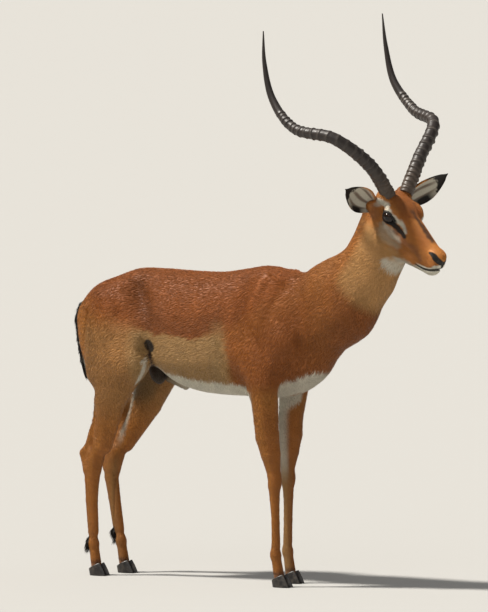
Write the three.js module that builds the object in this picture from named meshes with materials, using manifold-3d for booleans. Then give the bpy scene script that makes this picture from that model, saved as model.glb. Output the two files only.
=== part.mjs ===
// An adult impala ram standing at rest and looking to its right, at life size.
// Millimetres. +X is the animal's front, +Y its left and +Z is up. While it is being built
// x = 0 lies under the withers and z = 0 is the ground.
import * as THREE from 'three';
import { surfaceNet } from 'three/addons/libs/surfaceNet.js';
import { MeshoptSimplifier } from 'three/addons/libs/meshopt_simplifier.module.js';
import { mergeVertices } from 'three/addons/utils/BufferGeometryUtils.js';
import Module from 'manifold-3d';

const wasm = await Module();
wasm.setup();
await MeshoptSimplifier.ready;

// ---------------------------------------------------------------- driving dimensions

const RIGHT = -1;
const LEFT = 1;
const SIDES = [RIGHT, LEFT];
const GAP = 0.3; // clearance between neighbouring pieces
const FAR = 1500; // longer than any cut has to reach

// How softly neighbouring masses of flesh run into each other.
const SOFT = { trunk: 46, shoulder: 40, limb: 22, joint: 12, bone: 3, face: 14 };

// The trunk at stations along X: underline, height of the widest place, topline, half width.
const TRUNK = [
  [-654, 712, 740, 766, 18],
  [-632, 684, 735, 784, 40],
  [-600, 655, 728, 806, 62],
  [-540, 632, 722, 845, 86],
  [-456, 612, 715, 876, 100],
  [-360, 588, 700, 879, 109],
  [-300, 553, 690, 877, 119],
  [-230, 533, 680, 875, 126],
  [-146, 526, 680, 876, 126],
  [-60, 525, 690, 888, 117],
  [0, 524, 700, 897, 103],
  [60, 526, 700, 892, 94],
  [130, 545, 700, 866, 82],
  [190, 600, 700, 808, 60],
  [228, 655, 700, 745, 32],
];

// The neck as beads along its core: x, y, z and radius. It is flattened sideways.
const NECK = [
  [150, 0, 742, 130],
  [264, 0, 806, 117],
  [353, 0, 885, 85],
  [402, 0, 964, 79],
  [414, 0, 1035, 72],
];
const NECK_FLAT = 0.64;

// The head has its own frame: along the face, out to the left and up from the brow.
const HEAD = { origin: [417, -1, 1079], yaw: -13.3, roll: 5.8, pitch: 32 };
const EYE = { along: 75, out: 46, up: 14, radius: 19 };

// One horn's core in a frame that turns with the head but stays level: back, out and up.
const HORN = {
  origin: [456, -10, 1100],
  core: [
    [-12, 37, 17],
    [-5, 83, 95],
    [28, 176, 182],
    [152, 216, 213],
    [234, 219, 294],
    [256, 219, 391],
    [255, 215, 482],
  ],
  leftWider: [0, 10, 5, 0, 0, 0, 0], // the left horn bows out a little more
  radii: [20.5, 19.5, 18, 16.5, 14.5, 10.5, 6.5, 1.6],
  seat: 14,
  ridges: 18,
  ridgedPart: 0.62,
  ridgeHeight: 0.11,
  tipRings: 8,
};

// The ears turn on their own, so each has its own root and heading in the head's frame.
const EAR = { sunk: 12, depth: 22, shell: 5 };
const EARS = [
  { name: 'right', side: RIGHT, length: 130, width: 77, root: [0, 50, 0], along: [-0.17, 0.86, 0.5] },
  { name: 'left', side: LEFT, length: 164, width: 88, root: [10, 56, -4], along: [0.2, 0.73, 0.75] },
];

// Where each leg stands: the fore and aft places of its joints, and how far out the feet are.
const FOREFOOT_OUT = 63;
const HINDFOOT_OUT = 61;
const FORELEGS = [
  { name: 'right', side: RIGHT, shoulder: 112, elbow: 40, forearm: 54, knee: 76, fetlock: 80, hoof: 101 },
  { name: 'left', side: LEFT, shoulder: 104, elbow: 22, forearm: 27, knee: 27, fetlock: 25, hoof: 44 },
];
const HINDLEGS = [
  {
    name: 'right', side: RIGHT, gaskin: -506, hock: -581, shin: -583, ankle: -578, fetlock: -576, hoof: -558,
  },
  {
    name: 'left', side: LEFT, gaskin: -495, hock: -607, shin: -599, ankle: -583, fetlock: -574, hoof: -554,
  },
];
const KNEE_HEIGHT = 297;
const HOCK_HEIGHT = 331;
const FETLOCK_HEIGHT = 95;

// One claw of a cloven hoof.
const CLAW = { length: 56, width: 19, toe: 33, heelHeight: 20, slope: 27, apart: 1.2 };

// Where the body is parted.
const ELBOW_CUT = 548;
const ARMPIT_CUT = { inside: 47, behind: 52, ahead: 100 };
const KNEE_CUT = 327;
const THIGH_CUT = { at: [-350, 0, 569], slope: 13, inside: 30 };
const HOCK_CUT = 372;
const NECK_CUT = { at: [212, 0, 790], lean: -48 };
const THROAT_CUT = { at: [402, 0, 1010], lean: -24 };

// The finish of each kind of surface.
const FINISH = {
  saddle: new THREE.MeshStandardMaterial({ color: 0xa2592b, roughness: 0.75 }),
  tan: new THREE.MeshStandardMaterial({ color: 0xb8793f, roughness: 0.78 }),
  ear: new THREE.MeshStandardMaterial({ color: 0xb07a4a, roughness: 0.8 }),
  horn: new THREE.MeshStandardMaterial({ color: 0x2a2422, roughness: 0.55 }),
  hoof: new THREE.MeshStandardMaterial({ color: 0x1d1a18, roughness: 0.45 }),
  eye: new THREE.MeshStandardMaterial({ color: 0x0d0906, roughness: 0.08 }),
  tail: new THREE.MeshStandardMaterial({ color: 0x2b2019, roughness: 0.85 }),
};

// ---------------------------------------------------------------- distance fields

const clamp = (value, low, high) => Math.min(Math.max(value, low), high);

// A union of two distances that rounds the crease between them over the width given.
function softUnion(a, b, width) {
  const overlap = Math.max(width - Math.abs(a - b), 0) / width;
  return Math.min(a, b) - (overlap * overlap * width) / 4;
}

// A limb-like mass between two balls of different size, flattened sideways.
function taper(from, to, radiusFrom, radiusTo, flat = 1) {
  const step = to.map((value, axis) => value - from[axis]);
  const squared = step.reduce((sum, value) => sum + value * value, 0);
  const centre = from.map((value, axis) => value + step[axis] / 2);
  const reach = Math.sqrt(squared) / 2 + Math.max(radiusFrom, radiusTo);
  const field = (x, y, z) => {
    const px = x - from[0];
    const py = y - from[1];
    const pz = z - from[2];
    const t = clamp((px * step[0] + py * step[1] + pz * step[2]) / squared, 0, 1);
    const ox = px - t * step[0];
    const oy = py - t * step[1];
    const oz = pz - t * step[2];
    const radius = radiusFrom + (radiusTo - radiusFrom) * t;
    const squeezed = Math.hypot(ox, oy / flat, oz) + 1e-9;
    return Math.hypot(ox, oy, oz) * (1 - radius / squeezed) - 1e-9;
  };
  return { field, centre, reach };
}

// An egg-shaped mass with its own three radii, tipped nose-down by the angle given.
function egg(centre, radii, tipDegrees = 0) {
  const cos = Math.cos(THREE.MathUtils.degToRad(tipDegrees));
  const sin = Math.sin(THREE.MathUtils.degToRad(tipDegrees));
  const field = (x, y, z) => {
    const px = (x - centre[0]) * cos - (z - centre[2]) * sin;
    const py = y - centre[1];
    const pz = (x - centre[0]) * sin + (z - centre[2]) * cos;
    const scaled = Math.hypot(px / radii[0], py / radii[1], pz / radii[2]) + 1e-9;
    return Math.hypot(px, py, pz) * (1 - 1 / scaled) - 1e-9;
  };
  return { field, centre, reach: Math.max(...radii) };
}

// Several masses joined in turn, each with its own softness.
function gather(forms) {
  const low = [Infinity, Infinity, Infinity];
  const high = [-Infinity, -Infinity, -Infinity];
  for (const { form } of forms) {
    for (let axis = 0; axis < 3; axis++) {
      low[axis] = Math.min(low[axis], form.centre[axis] - form.reach);
      high[axis] = Math.max(high[axis], form.centre[axis] + form.reach);
    }
  }
  const centre = low.map((value, axis) => (value + high[axis]) / 2);
  const reach = Math.hypot(...high.map((value, axis) => value - low[axis])) / 2;
  const field = (x, y, z) => {
    let distance = FAR;
    for (const { form, soft } of forms) {
      const away = Math.hypot(x - form.centre[0], y - form.centre[1], z - form.centre[2]) - form.reach;
      if (away < distance + soft) distance = softUnion(distance, form.field(x, y, z), soft);
    }
    return distance;
  };
  return { field, centre, reach };
}

// A chain of tapers through beads of x, y, z and radius.
function chain(beads, flat, soft) {
  const forms = [];
  for (let i = 1; i < beads.length; i++) {
    const [a, b] = [beads[i - 1], beads[i]];
    forms.push(blended(soft, taper(a.slice(0, 3), b.slice(0, 3), a[3], b[3], flat)));
  }
  return gather(forms);
}

// Values between stations, by a smooth curve through them.
function alongStations(stations, x) {
  const last = stations.length - 2;
  let i = 0;
  while (i < last && stations[i + 1][0] < x) i++;
  const [a, b] = [stations[i], stations[i + 1]];
  const before = stations[Math.max(i - 1, 0)];
  const after = stations[Math.min(i + 2, last + 1)];
  const span = b[0] - a[0];
  const t = clamp((x - a[0]) / span, 0, 1);
  return a.slice(1).map((value, k) => {
    const slopeA = ((b[k + 1] - before[k + 1]) / (b[0] - before[0])) * span;
    const slopeB = ((after[k + 1] - value) / (after[0] - a[0])) * span;
    const rise = b[k + 1] - value;
    const bend = slopeA + slopeB - 2 * rise;
    return value + t * slopeA + t * t * (rise - slopeA - bend) + t * t * t * bend;
  });
}

// The barrel of the body from rump to breast.
function barrel() {
  const [first, last] = [TRUNK[0][0], TRUNK[TRUNK.length - 1][0]];
  const table = [];
  for (let x = first; x <= last; x++) table.push(alongStations(TRUNK, x));
  const field = (x, y, z) => {
    const inside = clamp(x, first, last);
    const [low, wide, top, half] = table[Math.round(inside - first)];
    const height = z > wide ? top - wide : wide - low;
    const scaled = Math.hypot(y / half, (z - wide) / height) + 1e-9;
    const across = Math.hypot(y, z - wide) * (1 - 1 / scaled) - 1e-9;
    const beyond = Math.abs(x - inside);
    return beyond > 0 ? Math.hypot(Math.max(across, 0), beyond) : across;
  };
  const centre = [(first + last) / 2, 0, 700];
  return { field, centre, reach: 520 };
}

// ---------------------------------------------------------------- the animal's masses

// A mass, and how softly it runs into what is already there.
const blended = (soft, form) => ({ form, soft });

// Thigh, gaskin, hock, cannon and pastern of a hind leg.
function hindlegForms({ side, gaskin, hock, shin, ankle, fetlock, hoof }) {
  const at = (x, out, z, ...radius) => [x, side * out, z, ...radius];
  const knob = [at(hock - 31, 62, HOCK_HEIGHT + 13, 12.5), at(hock - 15, 61, HOCK_HEIGHT - 30, 16)];
  const tendon = [
    at(-545, 74, 500, 12),
    at(hock + 14, 70, 430, 9.5),
    at(hock - 9, 65, 376, 9.5),
    at(hock - 29, 62, 350, 10.5),
  ];
  const web = [at(-538, 76, 480, 26), at(hock + 14, 66, 384, 26)];
  const cannon = [
    at(hock + 14, 62, HOCK_HEIGHT + 14, 30),
    at(hock + 2, 61, HOCK_HEIGHT - 31, 27),
    at(hock - 1, 61, HOCK_HEIGHT - 59, 23.5),
    at(shin, HINDFOOT_OUT, 214, 19.5),
    at(ankle, HINDFOOT_OUT, 125, 18),
  ];
  const shank = [at(-448, 90, 600, 70), at(gaskin, 80, 492, 52), at(hock + 43, 67, 376, 33)];
  return [
    blended(SOFT.trunk, egg(at(-500, 54, 750), [106, 50, 84], 18)),
    blended(SOFT.shoulder, egg(at(-508, 74, 690), [92, 52, 108], -8)),
    blended(SOFT.shoulder, chain([at(-450, 74, 740, 70), at(-408, 92, 622, 50)], 0.72, SOFT.limb)),
    blended(SOFT.shoulder, chain([at(-572, 60, 730, 48), at(-543, 76, 580, 42)], 0.8, SOFT.limb)),
    blended(SOFT.shoulder, chain(shank, 0.62, SOFT.bone)),
    blended(SOFT.joint, chain(web, 0.3, SOFT.bone)),
    blended(SOFT.joint, chain(tendon, 0.8, SOFT.bone)),
    blended(SOFT.joint, chain(cannon, 0.74, SOFT.bone)),
    blended(SOFT.joint, chain(knob, 0.8, SOFT.bone)),
    ...footForms(side * HINDFOOT_OUT, fetlock, hoof),
  ];
}

// Shoulder blade, upper arm, forearm, knee, cannon and pastern of a foreleg.
function forelegForms({ side, shoulder, elbow, forearm, knee, fetlock, hoof }) {
  const at = (x, out, z, ...radius) => [x, side * out, z, ...radius];
  const arm = [
    at(elbow + 12, 82, 560, 46),
    at(forearm, 74, 466, 38),
    at(forearm + 2, 71, 420, 36),
    at((forearm + knee) / 2, 67, 372, 30),
    at(knee - 3, FOREFOOT_OUT, 318, 21),
  ];
  const cannon = [
    at(knee - 1, FOREFOOT_OUT, 278, 18),
    at(knee, FOREFOOT_OUT, 244, 15),
    at((knee + fetlock) / 2, FOREFOOT_OUT, 180, 13.5),
    at(fetlock, FOREFOOT_OUT, 120, 14),
  ];
  return [
    blended(SOFT.trunk, egg(at(58, 66, 760), [78, 32, 128], -16)),
    blended(SOFT.shoulder, chain([at(shoulder, 70, 690, 50), at(elbow + 10, 80, 590, 44)], 0.74, SOFT.limb)),
    blended(SOFT.shoulder, egg(at(elbow - 22, 78, 640), [50, 28, 72], -14)),
    blended(SOFT.limb, chain(arm, 0.84, SOFT.bone)),
    blended(SOFT.limb, egg(at(elbow - 20, 82, 552), [20, 16, 28])),
    blended(SOFT.joint, egg(at(knee, FOREFOOT_OUT, KNEE_HEIGHT), [19, 19, 27])),
    blended(SOFT.joint, chain(cannon, 0.9, SOFT.bone)),
    ...footForms(side * FOREFOOT_OUT, fetlock, hoof),
  ];
}

// Fetlock and pastern, which every leg has.
function footForms(y, fetlock, hoof) {
  const pastern = [[fetlock + 1, y, FETLOCK_HEIGHT - 12, 14], [hoof - 8, y, 24, 16]];
  return [
    blended(SOFT.joint, egg([fetlock - 1, y, FETLOCK_HEIGHT], [15.5, 15, 20])),
    blended(SOFT.joint, chain(pastern, 1, SOFT.bone)),
  ];
}

// The head in its own frame: along the face, out to the left, up from the brow.
function headForms() {
  const pair = (soft, make) => SIDES.map((side) => blended(soft, make(side)));
  return gather([
    // The braincase, the forehead, the rims of the eye sockets and the brows.
    blended(SOFT.face, egg([48, 0, 2], [62, 45, 47])),
    blended(SOFT.limb, egg([62, 0, 28], [50, 42, 30], 6)),
    ...pair(SOFT.face, (s) => egg([71, s * 37, EYE.up], [31, 20, 27], 10)),
    ...pair(SOFT.face, (s) => egg([85, s * 40, 24], [28, 15, 17], 10)),
    // The muzzle, the cheekbones, the lower jaw, the cheeks and the jaw's corner.
    blended(SOFT.limb, taper([104, 0, 0], [255, 0, -13], 44, 23, 0.8)),
    ...pair(SOFT.limb, (s) => taper([78, s * 38, -14], [160, s * 24, -14], 16, 12)),
    ...pair(SOFT.limb, (s) => taper([84, s * 24, -76], [240, s * 6, -51], 31, 19, 0.72)),
    ...pair(SOFT.limb, (s) => taper([100, s * 24, -40], [214, s * 8, -28], 29, 19, 0.72)),
    ...pair(SOFT.limb, (s) => egg([80, s * 32, -44], [46, 15, 48], 24)),
    // The nose, the upper lip and the chin.
    blended(SOFT.face, egg([255, 0, -6], [22, 20, 18])),
    blended(SOFT.face, egg([254, 0, -28], [24, 18, 14])),
    blended(SOFT.face, egg([243, 0, -52], [25, 13, 13])),
    // What the horns and the ears stand on.
    ...pair(SOFT.face, (s) => taper([18, s * 26, 18], [22, s * 35, 42], 24, 25)),
    ...EARS.map(({ side, root: [along, out, up] }) => (
      blended(SOFT.face, taper([8, side * 34, 2], [along, side * out, up], 20, 17))
    )),
  ]);
}

const headTurn = new THREE.Matrix4()
  .makeRotationFromEuler(new THREE.Euler(
    THREE.MathUtils.degToRad(HEAD.roll),
    THREE.MathUtils.degToRad(HEAD.pitch),
    THREE.MathUtils.degToRad(HEAD.yaw),
    'ZXY',
  ))
  .setPosition(...HEAD.origin);
const hornTurn = new THREE.Matrix4()
  .makeRotationFromEuler(new THREE.Euler(
    THREE.MathUtils.degToRad(HEAD.roll),
    0,
    THREE.MathUtils.degToRad(HEAD.yaw),
    'ZXY',
  ))
  .setPosition(...HORN.origin);

const onHead = (along, out, up) => new THREE.Vector3(along, out, up).applyMatrix4(headTurn);

// The head's masses seen from the body's frame.
function turnedHead() {
  const local = headForms();
  const inverse = headTurn.clone().invert().elements;
  const field = (x, y, z) => local.field(
    inverse[0] * x + inverse[4] * y + inverse[8] * z + inverse[12],
    inverse[1] * x + inverse[5] * y + inverse[9] * z + inverse[13],
    inverse[2] * x + inverse[6] * y + inverse[10] * z + inverse[14],
  );
  return { field, centre: onHead(...local.centre).toArray(), reach: local.reach };
}

const body = gather([
  blended(SOFT.trunk, barrel()),
  blended(SOFT.trunk, chain(NECK, NECK_FLAT, SOFT.shoulder)),
  blended(SOFT.trunk, egg([150, 0, 640], [64, 56, 74], 30)),
  blended(SOFT.limb, turnedHead()),
  ...HINDLEGS.flatMap(hindlegForms),
  ...FORELEGS.flatMap(forelegForms),
  blended(SOFT.limb, taper([-352, 0, 568], [-290, 0, 543], 14, 9)),
  blended(SOFT.joint, egg([-392, 0, 583], [26, 24, 38], -20)),
]).field;

// ---------------------------------------------------------------- solids

// A closed geometry's shared corners as a solid that can be joined and cut.
function solid(geometry) {
  const bare = new THREE.BufferGeometry().setAttribute('position', geometry.getAttribute('position'));
  bare.setIndex(geometry.index);
  const merged = mergeVertices(bare, 1e-4);
  return new wasm.Manifold(new wasm.Mesh({
    numProp: 3,
    vertProperties: new Float32Array(merged.attributes.position.array),
    triVerts: new Uint32Array(merged.index.array),
  }));
}

function geometryOf(made) {
  const mesh = made.getMesh();
  const geometry = new THREE.BufferGeometry();
  geometry.setAttribute('position', new THREE.BufferAttribute(mesh.vertProperties, 3));
  geometry.setIndex(new THREE.BufferAttribute(mesh.triVerts, 1));
  return geometry;
}

// A box with its low and high corners, then turned about Y and set down at a place.
function block(low, high, turnDegrees = 0, at = [0, 0, 0]) {
  const size = high.map((value, axis) => value - low[axis]);
  const geometry = new THREE.BoxGeometry(...size);
  geometry.translate(...low.map((value, axis) => value + size[axis] / 2));
  geometry.rotateY(THREE.MathUtils.degToRad(turnDegrees));
  geometry.translate(...at);
  return solid(geometry);
}

// The flesh inside a box, meshed on a grid and thinned to about the number of triangles given.
function flesh(low, high, cell, triangles) {
  const dims = low.map((value, axis) => Math.ceil((high[axis] - value) / cell));
  const top = low.map((value, axis) => value + dims[axis] * cell);
  const size = dims.map((count) => count + 1);
  const values = new Float32Array(size[0] * size[1] * size[2]).fill(NaN);
  const edge = (x, y, z) => x <= low[0] || y <= low[1] || z <= low[2]
    || x >= top[0] - cell || y >= top[1] - cell || z >= top[2] - cell;
  const cached = (x, y, z) => {
    const i = Math.round((x - low[0]) / cell);
    const j = Math.round((y - low[1]) / cell);
    const k = Math.round((z - low[2]) / cell);
    const place = i + size[0] * (j + size[1] * k);
    if (Number.isNaN(values[place])) values[place] = edge(x, y, z) ? 1 : body(x, y, z);
    return values[place];
  };
  const net = surfaceNet(dims, cached, [low, top]);
  const positions = new Float32Array(net.positions.flatMap((p) => settle(p, low, top, cell)));
  const indices = new Uint32Array(net.cells.flat());
  const [kept] = MeshoptSimplifier.simplify(indices, positions, 3, triangles * 3, 1, ['Prune']);
  const geometry = new THREE.BufferGeometry();
  geometry.setAttribute('position', new THREE.BufferAttribute(positions, 3));
  geometry.setIndex(new THREE.BufferAttribute(kept, 1));
  return solid(geometry);
}

// Moves a point of the net onto the skin, unless it lies on the box's own side.
function settle(point, low, top, cell) {
  const nearSide = (value, axis) => value < low[axis] + 1.6 * cell || value > top[axis] - 2.6 * cell;
  if (point.some(nearSide)) return point;
  let p = [...point];
  for (let pass = 0; pass < 3; pass++) {
    const here = body(...p);
    const step = 0.4;
    const slope = [0, 1, 2].map((axis) => {
      const q = [...p];
      q[axis] += step;
      return (body(...q) - here) / step;
    });
    const squared = Math.max(slope.reduce((sum, value) => sum + value * value, 0), 0.2);
    p = p.map((value, axis) => value - (here * slope[axis]) / squared);
  }
  return p;
}

// A closed skin over rings that all have the same number of corners.
function loft(rings) {
  const count = rings[0].length;
  const points = rings.flat();
  const indices = [];
  for (let ring = 1; ring < rings.length; ring++) {
    for (let i = 0; i < count; i++) {
      const a = (ring - 1) * count + i;
      const b = (ring - 1) * count + ((i + 1) % count);
      indices.push(a, b, a + count, b, b + count, a + count);
    }
  }
  const cap = (ring, flip) => {
    const middle = new THREE.Vector3();
    for (const point of rings[ring]) middle.addScaledVector(point, 1 / count);
    points.push(middle);
    for (let i = 0; i < count; i++) {
      const a = ring * count + i;
      const b = ring * count + ((i + 1) % count);
      indices.push(...(flip ? [points.length - 1, b, a] : [points.length - 1, a, b]));
    }
  };
  cap(0, true);
  cap(rings.length - 1, false);
  const geometry = new THREE.BufferGeometry();
  const corners = points.flatMap((point) => point.toArray());
  geometry.setAttribute('position', new THREE.Float32BufferAttribute(corners, 3));
  geometry.setIndex(indices);
  const made = solid(geometry);
  return made.volume() < 0 ? solid(reversed(geometry)) : made;
}

function reversed(geometry) {
  const order = geometry.index.array;
  for (let i = 0; i < order.length; i += 3) [order[i + 1], order[i + 2]] = [order[i + 2], order[i + 1]];
  return geometry;
}

// A ring of corners around a point, in the plane of two directions.
function ring(centre, across, upward, halfAcross, halfUp, corners) {
  return Array.from({ length: corners }, (_, i) => {
    const angle = (2 * Math.PI * i) / corners;
    return centre.clone()
      .addScaledVector(across, halfAcross * Math.cos(angle))
      .addScaledVector(upward, halfUp * Math.sin(angle));
  });
}

// ---------------------------------------------------------------- horns, ears, eyes, hooves, tail

// A value part-way along a list of evenly spaced ones.
function between(list, t) {
  const place = clamp(t, 0, 1) * (list.length - 1);
  const i = Math.min(Math.floor(place), list.length - 2);
  return list[i] + (list[i + 1] - list[i]) * (place - i);
}

// A horn: growth ridges run round its lower part, and its tip is smooth.
function horn(side, clearance) {
  const wider = side === LEFT ? HORN.leftWider : HORN.leftWider.map(() => 0);
  const core = HORN.core.map(([back, out, up], i) => (
    new THREE.Vector3(-back, side * (out + wider[i]), up).applyMatrix4(hornTurn)
  ));
  const root = core[0].clone().sub(core[1]).setLength(HORN.seat + clearance).add(core[0]);
  const curve = new THREE.CatmullRomCurve3([root, ...core], false, 'centripetal');
  const steps = HORN.ridges * 2;
  const half = HORN.ridgeHeight / 2;
  const stops = [];
  for (let i = 0; i < steps; i++) {
    const swell = i % 2 === 1 ? 1 + half : 1 - half;
    stops.push([(i / steps) * HORN.ridgedPart, swell]);
  }
  for (let i = 0; i <= HORN.tipRings; i++) {
    stops.push([HORN.ridgedPart + (i / HORN.tipRings) * (1 - HORN.ridgedPart), 1]);
  }
  const rings = stops.map(([t, swell]) => {
    const radius = between(HORN.radii, t) * swell + clearance;
    const heading = curve.getTangentAt(t);
    const across = new THREE.Vector3(0, 0, 1).cross(heading).normalize();
    const upward = heading.clone().cross(across).normalize();
    return ring(curve.getPointAt(t), across, upward, radius, radius, 8);
  });
  return loft(rings);
}

// An ear: a leaf-shaped shell, cupped towards the front.
function ear({ side, length, width, root: place, along: heading }) {
  const root = new THREE.Vector3(place[0], side * place[1], place[2]);
  const along = new THREE.Vector3(heading[0], side * heading[1], heading[2]).normalize();
  const facing = new THREE.Vector3(1, 0, 0);
  const back = facing.clone().addScaledVector(along, -facing.dot(along)).normalize().negate();
  const across = along.clone().cross(back).normalize();
  const profile = [0.42, 0.62, 0.86, 1, 0.98, 0.8, 0.5, 0.12];
  const arc = 6;
  const rings = profile.map((share, i) => {
    const t = i / (profile.length - 1);
    const half = (width / 2) * share;
    const cup = EAR.depth * Math.cos(t * 1.2) * share + 2;
    const point = (angle, inner) => {
      const thin = EAR.shell * Math.min(1, share + 0.2) * inner;
      return root.clone()
        .addScaledVector(along, length * t - EAR.sunk)
        .addScaledVector(across, (half - thin * 0.6) * Math.cos(angle))
        .addScaledVector(back, (cup - thin) * Math.sin(angle) - cup * 0.3)
        .applyMatrix4(headTurn);
    };
    const angles = Array.from({ length: arc + 1 }, (_, k) => (Math.PI * k) / arc);
    const outer = angles.map((angle) => point(angle, 0));
    const inner = angles.slice(1, -1).reverse().map((angle) => point(angle, 1));
    return [...outer, ...inner];
  });
  return loft(rings);
}

function eyeball(side, clearance) {
  const middle = onHead(EYE.along, side * EYE.out, EYE.up);
  return solid(new THREE.SphereGeometry(EYE.radius + clearance, 14, 8).translate(...middle.toArray()));
}

// One claw, flat under its sole and cut off slanting at the coronet, where the pastern stands.
function claw(y, hoof, place) {
  const corners = 10;
  const slope = Math.tan(THREE.MathUtils.degToRad(CLAW.slope));
  const levels = [0, 0.35, 0.7, 1];
  const rings = levels.map((level) => Array.from({ length: corners }, (_, i) => {
    const angle = (2 * Math.PI * i) / corners;
    const half = (CLAW.length / 2) * (1 - 0.34 * level);
    const middle = hoof + CLAW.toe - CLAW.length / 2 - 13 * level;
    const x = middle + half * Math.cos(angle);
    const pointed = 1 - 0.45 * Math.max(0, Math.cos(angle)) ** 2;
    const wide = (CLAW.width / 2) * (1 - 0.1 * level) * pointed;
    const sideways = y + place * (CLAW.apart + wide * (1 + Math.sin(angle)));
    const top = CLAW.heelHeight + slope * (x - (hoof - CLAW.length + CLAW.toe));
    return new THREE.Vector3(x, sideways, level * top);
  }));
  return loft(rings);
}

// The tail hangs down close behind the buttocks.
function tail() {
  const core = new THREE.CatmullRomCurve3([
    new THREE.Vector3(-636, 0, 778),
    new THREE.Vector3(-664, -4, 764),
    new THREE.Vector3(-675, -8, 728),
    new THREE.Vector3(-667, -10, 666),
    new THREE.Vector3(-653, -12, 606),
    new THREE.Vector3(-644, -12, 556),
  ]);
  const widths = [15, 15, 15, 17, 19, 18, 15, 10, 3];
  const rings = widths.map((width, i) => {
    const t = i / (widths.length - 1);
    const heading = core.getTangentAt(t);
    const across = new THREE.Vector3(0, 1, 0);
    const upward = heading.clone().cross(across).normalize();
    return ring(core.getPointAt(t), across, upward, width, width * 0.5, 10);
  });
  return loft(rings);
}

// ---------------------------------------------------------------- parting the body

// A piece cut back to what it grows from, with the gap between them along its own heading.
function clearOf(base, made, heading) {
  const step = heading.clone().setLength(GAP).toArray();
  return made.subtract(base).subtract(base.translate(step));
}

// Everything on one side of a plane that faces forward and leans back by the angle given.
const ahead = ({ at, lean }, gap) => block([gap, -FAR, -FAR], [FAR, FAR, FAR], lean, at);
const behind = ({ at, lean }, gap) => block([-2 * FAR, -FAR, -2 * FAR], [-gap, FAR, FAR], lean, at);

const pieces = [];
function keep(name, made, finish) {
  pieces.push({ name, made, finish });
}

function build() {
  const horns = SIDES.map((side) => horn(side, 0));
  const skull = flesh([340, -130, 850], [700, 110, 1190], 4, 1430)
    .intersect(ahead(THROAT_CUT, GAP / 2));
  let head = skull;
  for (const side of SIDES) {
    head = head.subtract(horn(side, GAP)).subtract(eyeball(side, GAP));
  }
  const ears = EARS.map((place) => clearOf(skull, ear(place), onHead(...place.along).sub(onHead(0, 0, 0)))
    .subtract(horn(place.side, GAP)));
  keep('head', head, FINISH.tan);
  SIDES.forEach((side, i) => {
    const name = side === RIGHT ? 'right' : 'left';
    keep(`horn_${name}`, horns[i], FINISH.horn);
    keep(`ear_${name}`, ears[i], FINISH.ear);
    keep(`eye_${name}`, eyeball(side, 0), FINISH.eye);
  });

  keep('neck', flesh([60, -130, 560], [540, 130, 1180], 7, 800)
    .intersect(behind(THROAT_CUT, GAP / 2))
    .intersect(ahead(NECK_CUT, GAP / 2)), FINISH.tan);

  const frontCut = FORELEGS.map((leg) => elbowBlock(leg, 0));
  let trunk = flesh([-690, -150, 500], [430, 150, 1010], 8, 1600)
    .intersect(behind(NECK_CUT, GAP / 2));
  for (const cut of frontCut) trunk = trunk.subtract(cut);
  for (const { side } of HINDLEGS) trunk = trunk.subtract(thighBlock(side, 0));
  keep('trunk', trunk, FINISH.saddle);
  keep('tail', clearOf(trunk, tail(), new THREE.Vector3(-1, 0, 0)), FINISH.tail);

  for (const leg of FORELEGS) {
    const yLow = leg.side === RIGHT ? -130 : 20;
    const yHigh = leg.side === RIGHT ? -20 : 130;
    const whole = flesh([leg.elbow - 80, yLow, 10], [leg.hoof + 90, yHigh, 590], 4, 600);
    const upper = whole.intersect(elbowBlock(leg, GAP))
      .subtract(block([-FAR, -FAR, 0], [FAR, FAR, KNEE_CUT + GAP / 2]));
    const lower = whole.intersect(block([-FAR, -FAR, 0], [FAR, FAR, KNEE_CUT - GAP / 2]));
    keep(`foreleg_${leg.name}_upper`, upper, FINISH.tan);
    foot('foreleg', leg, FOREFOOT_OUT, lower);
  }
  for (const leg of HINDLEGS) {
    const yLow = leg.side === RIGHT ? -150 : 20;
    const yHigh = leg.side === RIGHT ? -20 : 150;
    const whole = flesh([-670, yLow, 10], [-330, yHigh, 670], 4, 700);
    const upper = whole.intersect(thighBlock(leg.side, GAP))
      .subtract(block([-FAR, -FAR, -FAR], [FAR, FAR, HOCK_CUT + GAP / 2]));
    const lower = whole.intersect(block([-FAR, -FAR, -FAR], [FAR, FAR, HOCK_CUT - GAP / 2]));
    keep(`hindleg_${leg.name}_upper`, upper, FINISH.tan);
    foot('hindleg', leg, HINDFOOT_OUT, lower);
  }
}

// The space of a foreleg below the elbow, outside the armpit.
function elbowBlock({ side, elbow }, shrink) {
  const inside = ARMPIT_CUT.inside + shrink;
  const [yLow, yHigh] = side === RIGHT ? [-FAR, -inside] : [inside, FAR];
  const back = elbow - ARMPIT_CUT.behind + shrink;
  const front = elbow + ARMPIT_CUT.ahead - shrink;
  return block([back, yLow, -10], [front, yHigh, ELBOW_CUT - shrink]);
}

// The space below the slanting plane that parts a thigh from the trunk, outside the groin.
function thighBlock(side, shrink) {
  const inside = THIGH_CUT.inside + shrink;
  const [yLow, yHigh] = side === RIGHT ? [-FAR, -inside] : [inside, FAR];
  return block([-FAR, yLow, -FAR], [-shrink, yHigh, -shrink], THIGH_CUT.slope, THIGH_CUT.at);
}

// Parts the lower leg from its two claws at the coronet.
function foot(kind, leg, out, lower) {
  const heel = leg.hoof - CLAW.length + CLAW.toe;
  const at = [heel, 0, CLAW.heelHeight + GAP];
  const hoofRoom = block([-FAR, -FAR, -FAR], [FAR, FAR, 0], -CLAW.slope, at);
  keep(`${kind}_${leg.name}_lower`, lower.subtract(hoofRoom), FINISH.tan);
  keep(`hoof_${kind}_${leg.name}_outer`, claw(leg.side * out, leg.hoof, leg.side), FINISH.hoof);
  keep(`hoof_${kind}_${leg.name}_inner`, claw(leg.side * out, leg.hoof, -leg.side), FINISH.hoof);
}

build();

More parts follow.
